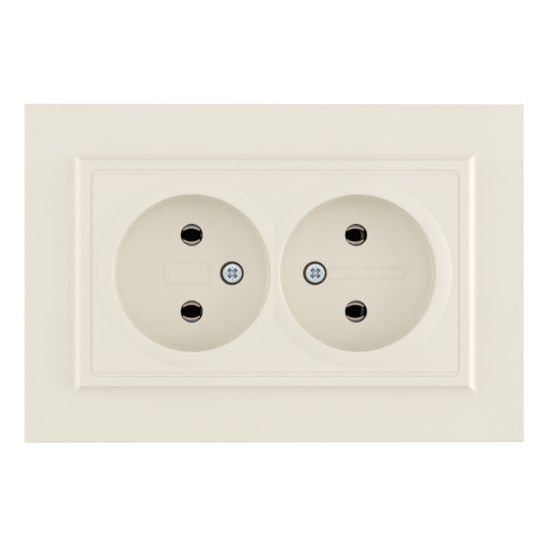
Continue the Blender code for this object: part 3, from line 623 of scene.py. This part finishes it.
def front_cover():
    plate_half = (OPENING_HALF[0] - COVER_PLAY, OPENING_HALF[1] - COVER_PLAY)
    shape = prism(rounded_rectangle(plate_half, OPENING_RADIUS - COVER_PLAY, 12), MARGIN_Y, COVER_BACK_Y)

    def field(half):
        return rounded_rectangle(half, FIELD_RADIUS, 12)

    root = across_y(field(FIELD_HALF), COVER_BACK_Y - 0.4)
    shape = fuse(shape, loft([root, *edge_loops(FIELD_HALF, FACE_Y, field, 0.16, 4)]))
    for side in SIDES.values():
        shape = fuse(shape, add_turned_y(bmesh.new(), collar_profile(), (side * WELL_X, 0), 192))
        outer = WELL_RADIUS + CUP_WALL
        cup = [(outer, COVER_BACK_Y - 0.6), (outer, FLOOR_BACK_Y - 0.6), (outer - 0.6, FLOOR_BACK_Y)]
        shape = fuse(shape, add_turned_y(bmesh.new(), cup, (side * WELL_X, 0), 192))
    wells, holes = bmesh.new(), bmesh.new()
    for side in SIDES.values():
        add_turned_y(wells, well_profile(), (side * WELL_X, 0), 192)
        for pole in POLES.values():
            profile = hole_profile(PIN_HOLE_RADIUS, FLOOR_Y, FLOOR_BACK_Y)
            add_turned_y(holes, profile, (side * WELL_X, pole * PIN_Z), 64)
        steps = hole_profile(SCREW_RECESS_RADIUS, FLOOR_Y, SCREW_SEAT_Y)[:-1]
        steps += [(SCREW_RECESS_RADIUS, SCREW_SEAT_Y), (1.75, SCREW_SEAT_Y), (1.75, FLOOR_BACK_Y + 1)]
        add_turned_y(holes, steps, (side * COVER_SCREW_X + RECESS_SHIFT, 0), 64)
    shape = cut(shape, wells)
    shape = fuse(shape, floor_reliefs())
    add_piece("front_cover", cut(shape, holes), sharp=14)


def floor_reliefs():
    """A blank, low raised border in each well, where a maker would mould its marks."""
    reliefs = bmesh.new()
    height, line = 0.16, 0.42
    for centre_x, half in ((-WELL_X - 1.1, (5.7, 3.0)), (WELL_X + 2.6, (9.6, 1.6))):
        outer = [(0, -0.5), (0, height - 0.06), (0.06, height)]
        inner = [(line - inset, above) for inset, above in reversed(outer)]
        loops = []
        for inset, above in outer + inner:
            size = (half[0] - inset, half[1] - inset)
            loops.append(across_y(rounded_rectangle(size, 1.0 - inset, 8, (centre_x, 0)), FLOOR_Y - above))
        add_loft(reliefs, loops, closed=True)
    return reliefs


# ---- carrier and insulation ----------------------------------------------------------------------
def mounting_bracket():
    shape = prism(rounded_rectangle(BRACKET_HALF, 6.0, 16), -BRACKET_SHEET, 0)
    flanges, dimples, holes = bmesh.new(), bmesh.new(), bmesh.new()
    for side in (-1, 1):
        ends = sorted((side * (BRACKET_HALF[1] - 1), side * BRACKET_HALF[1]))
        add_box(flanges, (-34, -BRACKET_SHEET - 2, ends[0]), (34, -BRACKET_SHEET / 2, ends[1]))
        dish = [
            (DIMPLE_RADIUS, -BRACKET_SHEET / 2),
            (DIMPLE_RADIUS, DIMPLE_FLOOR_Y[1] - 0.5),
            (DIMPLE_RADIUS - 0.5, DIMPLE_FLOOR_Y[1]),
        ]
        add_turned_y(dimples, dish, (side * CLAW_SCREW_X, 0), 48)
        for pole in POLES.values():
            add_prism(holes, rounded_rectangle(WINDOW_HALF, 0.6, 6, (side * WELL_X, pole * PIN_Z)), -2, 1)
            add_prism(holes, circle(2.4, 40, (side * 38.0, pole * 28.0)), -2, 1)
        bowl = [
            (DIMPLE_RADIUS - 0.7, -2),
            (DIMPLE_RADIUS - 0.8, DIMPLE_FLOOR_Y[0] - 0.4),
            (DIMPLE_RADIUS - 1.2, DIMPLE_FLOOR_Y[0]),
            (1.8, DIMPLE_FLOOR_Y[0]),
            (1.8, DIMPLE_FLOOR_Y[1] + 1),
        ]
        add_turned_y(holes, bowl, (side * CLAW_SCREW_X, 0), 48)
        add_prism(holes, circle(3.3, 48, (side * COVER_SCREW_X, 0)), -2, 1)
        add_prism(holes, circle(1.8, 32, (0, side * RIVET_Z)), -2, 1)
        add_prism(holes, ring_sector(BOX_SCREW_CIRCLE, 4.6, 90 * side, 11.0), -2, 1)
    shape = cut(fuse(fuse(shape, flanges), dimples), holes)
    add_piece("mounting_bracket", shape, bevel=0.12)


def socket_base():
    outline = clipped_circle(BASE_RADIUS, (BASE_HALF_WIDTH, BASE_HALF_HEIGHT))
    shape = prism(outline, BASE_FRONT_Y, BASE_BACK_Y)
    added = bmesh.new()
    for side in SIDES.values():
        for pole in POLES.values():
            half = (WINDOW_HALF[0] - GAP, WINDOW_HALF[1] - GAP)
            boss = rounded_rectangle(half, 0.5, 5, (side * WELL_X, pole * PIN_Z))
            add_prism(added, boss, FLOOR_BACK_Y + GAP, BASE_FRONT_Y + 1)
            lug_x = sorted((side * (BASE_HALF_WIDTH - 0.5), side * (CLAW_PIVOT[0] + 1.7)))
            lug_z = sorted((pole * 4.2, pole * 6.2))
            lug_y = (CLAW_PIVOT[1] - 2.2, CLAW_PIVOT[1] + 2.2)
            add_box(added, (lug_x[0], lug_y[0], lug_z[0]), (lug_x[1], lug_y[1], lug_z[1]))
    shape = fuse(shape, added)
    for tool in (contact_spaces(), terminal_pockets(), base_bores(), claw_notches(), base_grooves()):
        shape = cut(shape, tool)
    add_piece("socket_base", shape, bevel=0.18)


def contact_spaces():
    """Four chambers for the contacts, open in front, and two channels for the bus bars, open behind."""
    spaces = None
    for pole in POLES.values():
        centre = pole * PIN_Z
        near = (-CHANNEL_HALF_LENGTH, CHANNEL_Y, centre - CHANNEL_HALF_HEIGHT)
        channel = box(near, (CHANNEL_HALF_LENGTH, BASE_BACK_Y + 1, centre + CHANNEL_HALF_HEIGHT))
        chambers = bmesh.new()
        for side in SIDES.values():
            chamber = rectangle(CHAMBER_HALF, (side * WELL_X, centre))
            add_prism(chambers, chamber, FLOOR_BACK_Y - 1, CHANNEL_Y + 0.5)
        joined = fuse(channel, chambers)
        spaces = fuse(spaces, joined) if spaces else joined
    return spaces


def terminal_pockets():
    pockets = bmesh.new()
    for side in SIDES.values():
        for pole in POLES.values():
            z = sorted((pole * (TERMINAL_FLOOR_Z - 0.05), pole * (BASE_HALF_HEIGHT + 1)))
            x = side * TERMINAL_X
            add_box(pockets, (x - 4.2, TERMINAL_Y - 4.3, z[0]), (x + 4.2, BASE_BACK_Y + 1, z[1]))
    return pockets


def base_bores():
    bores = bmesh.new()
    for side in SIDES.values():
        front, back = INSERT_Y[0] - GAP, INSERT_Y[1] + GAP
        steps = [(3.3, BASE_FRONT_Y - 1), (3.3, front), (2.6, front), (2.6, back)]
        steps += [(1.9, back), (1.9, back + 3)]
        add_turned_y(bores, steps, (side * COVER_SCREW_X, 0), 40)
        for pole in POLES.values():
            ends = sorted((pole * (TERMINAL_FLOOR_Z + 0.5), pole * (PIN_Z - 1.0)))
            add_turned_z(bores, [(2.1, z) for z in ends], (side * TERMINAL_X, TERMINAL_Y), 32)
    for pole in POLES.values():
        add_prism(bores, circle(1.8, 32, (0, pole * RIVET_Z)), BASE_FRONT_Y - 1, BASE_BACK_Y + 1)
    return bores


def claw_notches():
    """A notch in each side for the claw's foot, nut and screw, the dimple's seat and the pin's holes."""
    notches, seats = bmesh.new(), bmesh.new()
    for side in SIDES.values():
        x = sorted((side * (CLAW_SCREW_X - 3.6), side * (BASE_HALF_WIDTH + 4)))
        add_box(notches, (x[0], DIMPLE_FLOOR_Y[1] + 1.6, -3.9), (x[1], BASE_BACK_Y + 1, 3.9))
        seat = [(DIMPLE_RADIUS + GAP, BASE_FRONT_Y - 1), (DIMPLE_RADIUS + GAP, DIMPLE_FLOOR_Y[1] + 1.8)]
        add_turned_y(seats, seat, (side * CLAW_SCREW_X, 0), 40)
        pin = [(1.2, -5.9), (1.2, 5.9)]
        add_turned_z(seats, pin, (side * CLAW_PIVOT[0], CLAW_PIVOT[1]), 32)
    return fuse(notches, seats)


def base_grooves():
    """Shallow moulded panels on the base's top and bottom, beside the terminals."""
    panels = bmesh.new()
    for side in SIDES.values():
        for pole in POLES.values():
            z = sorted((pole * (BASE_HALF_HEIGHT - 0.35), pole * (BASE_HALF_HEIGHT + 1)))
            x = sorted((side * 3.2, side * 14.2))
            add_box(panels, (x[0], 2.4, z[0]), (x[1], 10.6, z[1]))
    return panels


def rear_cover():
    inset = 1.0
    outline = clipped_circle(BASE_RADIUS - inset, (BASE_HALF_WIDTH - inset, BASE_HALF_HEIGHT - inset))
    shape = prism(outline, *REAR_COVER_Y)
    front, back = REAR_COVER_Y[0] - 1, REAR_COVER_Y[1] + 1
    holes = bmesh.new()
    for side in SIDES.values():
        x = sorted((side * (CLAW_SCREW_X - 3.6), side * BASE_HALF_WIDTH))
        add_box(holes, (x[0], front, -4.4), (x[1], back, 4.4))
        for pole in POLES.values():
            z = sorted((pole * (TERMINAL_TAB_Z[1] + 0.2), pole * BASE_HALF_HEIGHT))
            add_box(holes, (side * TERMINAL_X - 3.8, front, z[0]), (side * TERMINAL_X + 3.8, back, z[1]))
            ejector = [(1.6, REAR_COVER_Y[1] - 0.15), (1.6, back)]
            add_turned_y(holes, ejector, (side * 18.0, pole * 11.0), 40)
    for pole in POLES.values():
        add_prism(holes, circle(1.8, 32, (0, pole * RIVET_Z)), front, back)
    quarter = [(4.65, 0.5), (4.65, 1.8), (5.35, 1.8)]  # of a shallow mark shaped like a letter I laid down
    upper_half = quarter[::-1] + [(-x, z) for x, z in quarter]
    mark = upper_half + [(-x, -z) for x, z in upper_half]
    add_prism(holes, mark, REAR_COVER_Y[1] - 0.4, back)
    add_piece("rear_cover", cut(shape, holes), bevel=0.14)


# ---- contacts ------------------------------------------------------------------------------------
def bus_outline(pole):
    """The flat bar of one pole: broad at its ends, with two risers to the terminals."""
    end, half_bar, half_end = 23.9, 2.6, TAB_INNER + TAB_THICKNESS
    end_start = WELL_X - 3.1
    riser_in, riser_out, top = TERMINAL_X - 2.7, TERMINAL_X + 2.7, TERMINAL_TAB_Z[1] - PIN_Z
    right = [
        (riser_in, half_bar),
        (riser_in, top),
        (riser_out, top),
        (riser_out, half_bar),
        (end_start, half_bar),
        (end_start, half_end),
        (end, half_end),
        (end, -half_end),
        (end_start, -half_end),
        (end_start, -half_bar),
    ]
    left = [(-x, z) for x, z in reversed(right)]
    return [(x, pole * (PIN_Z + z)) for x, z in left + right]


def bus_bar(pole_name):
    pole = POLES[pole_name]
    node = f"bus_bar_{pole_name}"
    shape = prism(bus_outline(pole), *BUS_Y)
    tabs, holes = bmesh.new(), bmesh.new()
    inside = sum(BUS_Y) / 2
    for side in SIDES.values():
        clearance = [(BUS_CLEARANCE_RADIUS, BUS_Y[0] - 1), (BUS_CLEARANCE_RADIUS, BUS_Y[1] + 1)]
        add_turned_y(holes, clearance, (side * WELL_X, pole * PIN_Z), 48)
        for leaf in LEAVES.values():
            z = sorted(pole * PIN_Z + leaf * d for d in (TAB_INNER, TAB_INNER + TAB_THICKNESS))
            add_box(tabs, (side * WELL_X - 3.1, low(node).y + 2.5, z[0]), (side * WELL_X + 3.1, inside, z[1]))
            add_turned_z(holes, [(1.2, z[0] - 0.3), (1.2, z[1] + 0.3)], (side * WELL_X, LEAF_RIVET_Y), 24)
        z = sorted(pole * height for height in TERMINAL_TAB_Z)
        x = side * TERMINAL_X
        add_box(tabs, (x - 2.7, TERMINAL_Y - 3.3, z[0]), (x + 2.7, inside, z[1]))
        add_turned_z(holes, [(2.0, z[0] - 0.5), (2.0, z[1] + 0.5)], (x, TERMINAL_Y), 32)
    add_piece(node, cut(fuse(shape, tabs), holes), bevel=0.1)


def leaf_distance(y):
    """A smooth curve through LEAF_LINE's points."""
    points = [LEAF_LINE[0], *LEAF_LINE, LEAF_LINE[-1]]
    for i in range(1, len(points) - 2):
        (y0, d0), (y1, d1) = points[i], points[i + 1]
        if y <= y1 or i == len(points) - 3:
            span = y1 - y0
            before = (d1 - points[i - 1][1]) / (y1 - points[i - 1][0])
            after = (points[i + 2][1] - d0) / (points[i + 2][0] - y0)
            t = min(max((y - y0) / span, 0.0), 1.0)
            rise = (2 * t**3 - 3 * t**2 + 1) * d0 + (3 * t**2 - 2 * t**3) * d1
            return rise + span * ((t**3 - 2 * t**2 + t) * before + (t**3 - t**2) * after)


def leaf_loop(y, distance, half_width, thickness, centre, direction, steps=18):
    """One cross-section of a sprung strip: hollow towards the pin at the front, flat at the root."""
    hollow = min(1.0, max(0.0, (14.0 - y) / 5.0))
    hollow = hollow * hollow * (3 - 2 * hollow)
    inner, outer = [], []
    for i in range(steps + 1):
        x = half_width * (2 * i / steps - 1)
        sag = hollow * (LEAF_BEND_RADIUS - math.sqrt(LEAF_BEND_RADIUS**2 - x**2))
        inner.append(Vector((centre[0] + x, y, centre[1] + direction * (distance - sag))))
        outer.append(Vector((centre[0] + x, y, centre[1] + direction * (distance + thickness - sag))))
    return inner + outer[::-1]


def sprung_strip(node, centre, direction, front, offset, half_width, thickness):
    """A contact leaf or its backing spring, narrower and rounded at its mouth."""
    count = 44
    loops = []
    for i in range(count + 1):
        y = front + (LEAF_ROOT_Y - front) * i / count
        from_mouth = min(1.0, (y - front) / 1.4)
        width = half_width * (0.8 + 0.2 * math.sqrt(1 - (1 - from_mouth) ** 2))
        loops.append(leaf_loop(y, leaf_distance(y) + offset, width, thickness, centre, direction))
    z = sorted(centre[1] + direction * (d + offset) for d in (1.2, 4.2))
    hole = add_turned_z(bmesh.new(), [(1.2, height) for height in z], (centre[0], LEAF_RIVET_Y), 24)
    add_piece(node, softened(cut(loft(loops), hole), 0.07, 2, 50), sharp=40)


def contact(side_name, pole_name, leaf_name):
    leaf = LEAVES[leaf_name]
    centre = (SIDES[side_name] * WELL_X, POLES[pole_name] * PIN_Z)
    place = f"{pole_name}_{side_name}_{leaf_name}"
    sprung_strip(f"contact_leaf_{place}", centre, leaf, LEAF_LINE[0][0], 0, 2.6, LEAF_THICKNESS)
    offset = LEAF_THICKNESS + LAYER_GAP
    sprung_strip(f"backing_spring_{place}", centre, leaf, SPRING_FRONT_Y, offset, 2.2, SPRING_THICKNESS)
    profile = [(0.9, 1.55), (1.35, 1.6), (1.6, 1.8), (1.6, 2.15), (0.9, 2.15)]
    profile.append((0.9, TAB_INNER + TAB_THICKNESS))
    placed = [(r, centre[1] + leaf * d) for r, d in profile]
    rivet = add_turned_z(bmesh.new(), placed, (centre[0], LEAF_RIVET_Y), 28)
    add_piece(f"contact_rivet_{place}", rivet)


# ---- fasteners -----------------------------------------------------------------------------------
def threaded_loops(radius, start, end, pitch, steps, per_turn=8):
    """Circles along Z from start to end whose radius follows a V thread, fading out at both ends."""
    depth = 0.55 * pitch
    count = max(2, round((end - start) / pitch * per_turn))
    loops = []
    for i in range(count + 1):
        z = start + (end - start) * i / count
        fade = min(1.0, (z - start) / pitch, (end - z) / pitch)
        loop = []
        for j in range(steps):
            turn = j / steps
            phase = (z / pitch - turn) % 1.0
            groove = abs(2 * phase - 1) * depth * max(fade, 0.0)
            angle = 2 * math.pi * turn
            r = radius - groove
            loop.append(Vector((r * math.cos(angle), r * math.sin(angle), z)))
        loops.append(loop)
    return loops


def pan_head(radius, height, steps, dome=0.22):
    """Circles from under a head to its flat top, with a rounded shoulder."""
    profile = [(radius * 0.97, 0.0), (radius, 0.06 * height)]
    shoulder = height * (1 - dome)
    profile += [
        (radius * (0.74 + 0.26 * math.cos(a)), shoulder + dome * height * math.sin(a))
        for a in (math.radians(90 * i / 7) for i in range(8))
    ]
    return [across_z(circle(r, steps), z) for r, z in profile]


def tapered_bar(half_top, half_bottom, depth, top, angle):
    """One wing pair of a driver recess: a bar that narrows downwards, turned about Z."""
    loops = [across_z(rectangle(half_top), top + 0.4), across_z(rectangle(half_bottom), top - depth)]
    shape = loft(loops)
    shape.transform(Matrix.Rotation(math.radians(angle), 4, "Z"))
    return shape


def cross_recess(radius, height):
    """A broad cross recess with steep, tapered wings, and four fine marks between them."""
    top, bottom, depth = (radius * 0.62, radius * 0.23), (radius * 0.49, radius * 0.12), height * 0.66
    tool = fuse(tapered_bar(top, bottom, depth, height, 45), tapered_bar(top, bottom, depth, height, 135))
    for angle in (0, 90, 180, 270):
        near, far, half = radius * 0.48, radius * 0.76, radius * 0.03
        mark = box((near, -half, height - 0.1), (far, half, height + 0.4))
        mark.transform(Matrix.Rotation(math.radians(angle), 4, "Z"))
        tool = fuse(tool, mark)
    return tool


def screw(node, head, radius, length, pitch, seat, tilt, steps=36):
    """A pan-head screw with its head's underside at seat. Tilts of 0, 90 and 180 face it +Z, -Y and -Z."""
    tip = [across_z(circle(radius * 0.5, steps), -length)]
    tip.append(across_z(circle(radius * 0.72, steps), -length + 0.2))
    thread = threaded_loops(radius, -length + 0.45, -0.5, pitch, steps)
    neck = [across_z(circle(radius * 0.94, steps), -0.25), across_z(circle(radius, steps), 0.0)]
    shape = cut(loft([*tip, *thread, *neck, *pan_head(*head, steps)]), cross_recess(*head))
    shape.transform(Matrix.Translation(Vector(seat)) @ Matrix.Rotation(math.radians(tilt), 4, "X"))
    add_piece(node, shape, sharp=32)


def ring(node, centre, inner, outer, ends, edge):
    """A turned ring along Y with broken edges."""
    front, back = ends
    profile = [
        (inner + edge, front),
        (outer - edge, front),
        (outer, front + edge),
        (outer, back - edge),
        (outer - edge, back),
        (inner + edge, back),
        (inner, back - edge),
        (inner, front + edge),
    ]
    add_piece(node, loft([across_y(circle(r, 48, centre), y) for r, y in profile], closed=True))


def cover_fixing(side_name):
    """A captive cover screw, the washer that keeps it in the cover, and the insert that it turns in."""
    x = SIDES[side_name] * COVER_SCREW_X
    screw(f"cover_screw_{side_name}", (2.45, 1.5), 1.45, 11.2, FINE_PITCH, (x, SCREW_SEAT_Y, 0), 90, 48)
    ring(f"screw_retainer_{side_name}", (x, 0), 1.75, 2.9, RETAINER_Y, 0.12)
    ring(f"threaded_insert_{side_name}", (x, 0), 1.75, 2.3, INSERT_Y, 0.12)


def terminal(side_name, pole_name):
    """A terminal screw and the clamp plate that it presses on the wire."""
    pole = POLES[pole_name]
    place = f"{pole_name}_{side_name}"
    x = SIDES[side_name] * TERMINAL_X
    seat = (x, TERMINAL_Y, pole * (CLAMP_Z[1] + GAP))
    screw(f"terminal_screw_{place}", (3.0, 2.0), 1.7, 6.4, COARSE_PITCH, seat, 90 - 90 * pole)
    z = sorted(pole * height for height in CLAMP_Z)
    plate = box((x - 3.7, TERMINAL_Y - 3.6, z[0]), (x + 3.7, TERMINAL_Y + 3.6, z[1]))
    lips = bmesh.new()
    lip_z = sorted((pole * (CLAMP_Z[0] - 1.0), pole * (CLAMP_Z[0] + 0.5)))
    for edge in (-1, 1):
        lip_x = sorted((x + edge * 3.1, x + edge * 3.7))
        add_box(lips, (lip_x[0], TERMINAL_Y - 3.6, lip_z[0]), (lip_x[1], TERMINAL_Y + 3.6, lip_z[1]))
    hole = [(2.0, z[0] - 0.5), (2.0, z[1] + 0.5)]
    drill = add_turned_z(bmesh.new(), hole, (x, TERMINAL_Y), 32)
    add_piece(f"terminal_clamp_{place}", cut(fuse(plate, lips), drill), bevel=0.12)


def assembly_rivet(pole_name):
    """A long rivet through the bracket, the base and the rear cover."""
    front, back = -BRACKET_SHEET - GAP, REAR_COVER_Y[1] + GAP
    front_dome, back_dome = arc((1.8, front), 1.0, -90, 0, 6), arc((1.8, back), 1.0, 0, 90, 6)
    profile = [(1.2, front - 1.0), *front_dome, (1.5, front), (1.5, back), *back_dome, (1.2, back + 1.0)]
    rivet = add_turned_y(bmesh.new(), profile, (0, POLES[pole_name] * RIVET_Z), 36)
    add_piece(f"assembly_rivet_{pole_name}", rivet)


# ---- claws ---------------------------------------------------------------------------------------
def claw_outline(side):
    """The claw's profile in X and Y: a knuckle round the pivot, an arm forwards and a foot inwards."""
    px, py = CLAW_PIVOT
    sheet, outer = CLAW_SHEET, CLAW_KNUCKLE
    arm_front, tip_front = 7.0, 4.4
    foot_end = CLAW_SCREW_X - 2.9
    blend = math.degrees(math.asin((outer - sheet) / outer))  # where the knuckle meets the arm and the foot
    points = [
        (px + outer - sheet, arm_front),
        (px + outer - sheet + 0.9, tip_front),
        (px + outer + 0.75, tip_front + 0.5),
        (px + outer, arm_front + 0.4),
        *arc((px, py), outer, 0, 90, 16),
        (foot_end, py + outer),
        (foot_end, py + outer - sheet),
        *arc((px, py), outer, 180 - blend, 270 + blend, 20),
    ]
    return [(side * x, y) for x, y in points]


def claw(side_name):
    side = SIDES[side_name]
    px, py = side * CLAW_PIVOT[0], CLAW_PIVOT[1]
    outline = claw_outline(side)
    shape = loft([across_z(outline, -CLAW_HALF_WIDTH), across_z(outline, CLAW_HALF_WIDTH)])
    holes = bmesh.new()
    add_turned_z(holes, [(1.2, -CLAW_HALF_WIDTH - 1), (1.2, CLAW_HALF_WIDTH + 1)], (px, py), 32)
    slot_x = sorted((side * (CLAW_SCREW_X - 4), side * (CLAW_SCREW_X + 2.6)))
    add_box(holes, (slot_x[0], py + 0.6, -1.8), (slot_x[1], py + 3, 1.8))
    notch_x = sorted((side * (CLAW_PIVOT[0] + 0.6), side * (CLAW_PIVOT[0] + 4)))
    for z in (-1.8, 1.8):
        add_box(holes, (notch_x[0], 3, z - 0.7), (notch_x[1], 6.6, z + 0.7))
    add_piece(f"claw_{side_name}", cut(shape, holes), bevel=0.12)
    pin = [(0.75, -5.6), (0.9, -5.45), (0.9, 5.45), (0.75, 5.6)]
    add_piece(f"claw_pin_{side_name}", add_turned_z(bmesh.new(), pin, (px, py), 28))


def claw_drive(side_name):
    """The screw that spreads a claw, and the barrel nut that it draws against the claw's foot."""
    x = SIDES[side_name] * CLAW_SCREW_X
    screw(f"claw_screw_{side_name}", (2.8, 1.8), 1.5, 24.6, FINE_PITCH, (x, DIMPLE_FLOOR_Y[0] - GAP, 0), 90)
    y = middle(f"claw_nut_{side_name}").y
    barrel = [(2.0, -3.4), (2.2, -3.2), (2.2, 3.2), (2.0, 3.4)]
    shape = add_turned_z(bmesh.new(), barrel, (x, y), 40)
    thread = [(1.8, y - 4), (1.8, y + 4)]
    add_piece(f"claw_nut_{side_name}", cut(shape, add_turned_y(bmesh.new(), thread, (x, 0), 32)), bevel=0.08)


# ---- stage ---------------------------------------------------------------------------------------
def stage_material(name, colour, roughness):
    made = bpy.data.materials.new(name)
    made.use_nodes = True
    shader = made.node_tree.nodes["Principled BSDF"]
    shader.inputs["Base Color"].default_value = (*colour, 1.0)
    shader.inputs["Roughness"].default_value = roughness
    return made


def add_floor():
    """A pale disc below the outlet, clear of the camera's view of its front."""
    shape = bmesh.new()
    bmesh.ops.create_circle(shape, cap_ends=True, segments=96, radius=0.45)
    mesh = bpy.data.meshes.new("floor")
    shape.to_mesh(mesh)
    shape.free()
    mesh.materials.append(stage_material("floor", (0.86, 0.86, 0.85), 0.7))
    floor = bpy.data.objects.new("floor", mesh)
    floor.location = (0, 0, CAD_BOX[0][2] - 0.065)
    bpy.context.scene.collection.objects.link(floor)


def add_light(name, azimuth, elevation, distance, size, power, colour=(1, 1, 1)):
    """A soft light that faces the outlet. Azimuth 0 is straight in front, positive to the right."""
    data = bpy.data.lights.new(name, "AREA")
    data.shape = "RECTANGLE"
    data.size, data.size_y = size
    data.energy = power
    data.color = colour
    a, e = math.radians(azimuth), math.radians(elevation)
    back = Vector((math.sin(a) * math.cos(e), -math.cos(a) * math.cos(e), math.sin(e)))
    light = bpy.data.objects.new(name, data)
    light.location = back * distance
    light.rotation_mode = "QUATERNION"
    light.rotation_quaternion = (-back).to_track_quat("-Z", "Y")
    bpy.context.scene.collection.objects.link(light)


COOL = (0.87, 0.87, 1.0)
# azimuth, elevation, distance and size in metres, power in watts, colour
LIGHTS = {
    "right": (65, 4, 0.9, (0.6, 0.5), 2.0, COOL),
    "left": (-65, 4, 0.9, (0.6, 0.5), 1.0, COOL),
    "grazing_right": (80, 0, 0.9, (0.3, 0.6), 1.5, COOL),
    "grazing_left": (-80, 0, 0.9, (0.3, 0.6), 1.5, COOL),
    "front": (0, 14, 1.3, (0.6, 0.5), 0.4),
}
AMBIENT = 0.78
AMBIENT_COLOUR = (0.97, 0.98, 1.0)


def add_world():
    """White behind the outlet, and a softer white as its ambient light."""
    world = bpy.data.worlds.new("studio")
    world.use_nodes = True
    tree = world.node_tree
    tree.nodes.clear()
    seen, ambient = tree.nodes.new("ShaderNodeBackground"), tree.nodes.new("ShaderNodeBackground")
    seen.inputs["Strength"].default_value = 1.0
    ambient.inputs["Strength"].default_value = AMBIENT
    seen.inputs["Color"].default_value = (1, 1, 1, 1)
    ambient.inputs["Color"].default_value = (*AMBIENT_COLOUR, 1)
    path, mix = tree.nodes.new("ShaderNodeLightPath"), tree.nodes.new("ShaderNodeMixShader")
    output = tree.nodes.new("ShaderNodeOutputWorld")
    tree.links.new(path.outputs["Is Camera Ray"], mix.inputs["Fac"])
    tree.links.new(ambient.outputs["Background"], mix.inputs[1])
    tree.links.new(seen.outputs["Background"], mix.inputs[2])
    tree.links.new(mix.outputs["Shader"], output.inputs["Surface"])
    bpy.context.scene.world = world


CAMERA_YAW = -2.2  # degrees, from the left of straight ahead
CAMERA_DISTANCE = 1.0
CAMERA_TARGET = (-0.00006, FACE_Y * METRES, -0.00044)
CAMERA_LENS = 266.0


def add_camera():
    data = bpy.data.cameras.new("camera")
    data.sensor_width = 36.0
    data.lens = CAMERA_LENS
    data.clip_start, data.clip_end = 0.05, 20.0
    yaw = math.radians(CAMERA_YAW)
    back = Vector((math.sin(yaw), -math.cos(yaw), 0))
    camera = bpy.data.objects.new("camera", data)
    camera.location = Vector(CAMERA_TARGET) + back * CAMERA_DISTANCE
    camera.rotation_mode = "QUATERNION"
    camera.rotation_quaternion = (-back).to_track_quat("-Z", "Y")
    bpy.context.scene.collection.objects.link(camera)
    bpy.context.scene.camera = camera


def main():
    add_camera()
    front_cover()
    outer_frame()
    mounting_bracket()
    socket_base()
    rear_cover()
    for pole_name in POLES:
        bus_bar(pole_name)
        assembly_rivet(pole_name)
        for side_name in SIDES:
            terminal(side_name, pole_name)
            for leaf_name in LEAVES:
                contact(side_name, pole_name, leaf_name)
    for side_name in SIDES:
        cover_fixing(side_name)
        claw(side_name)
        claw_drive(side_name)
    add_floor()
    for name, settings in LIGHTS.items():
        add_light(name, *settings)
    add_world()
    bpy.context.scene.view_settings.view_transform = "Standard"


main()
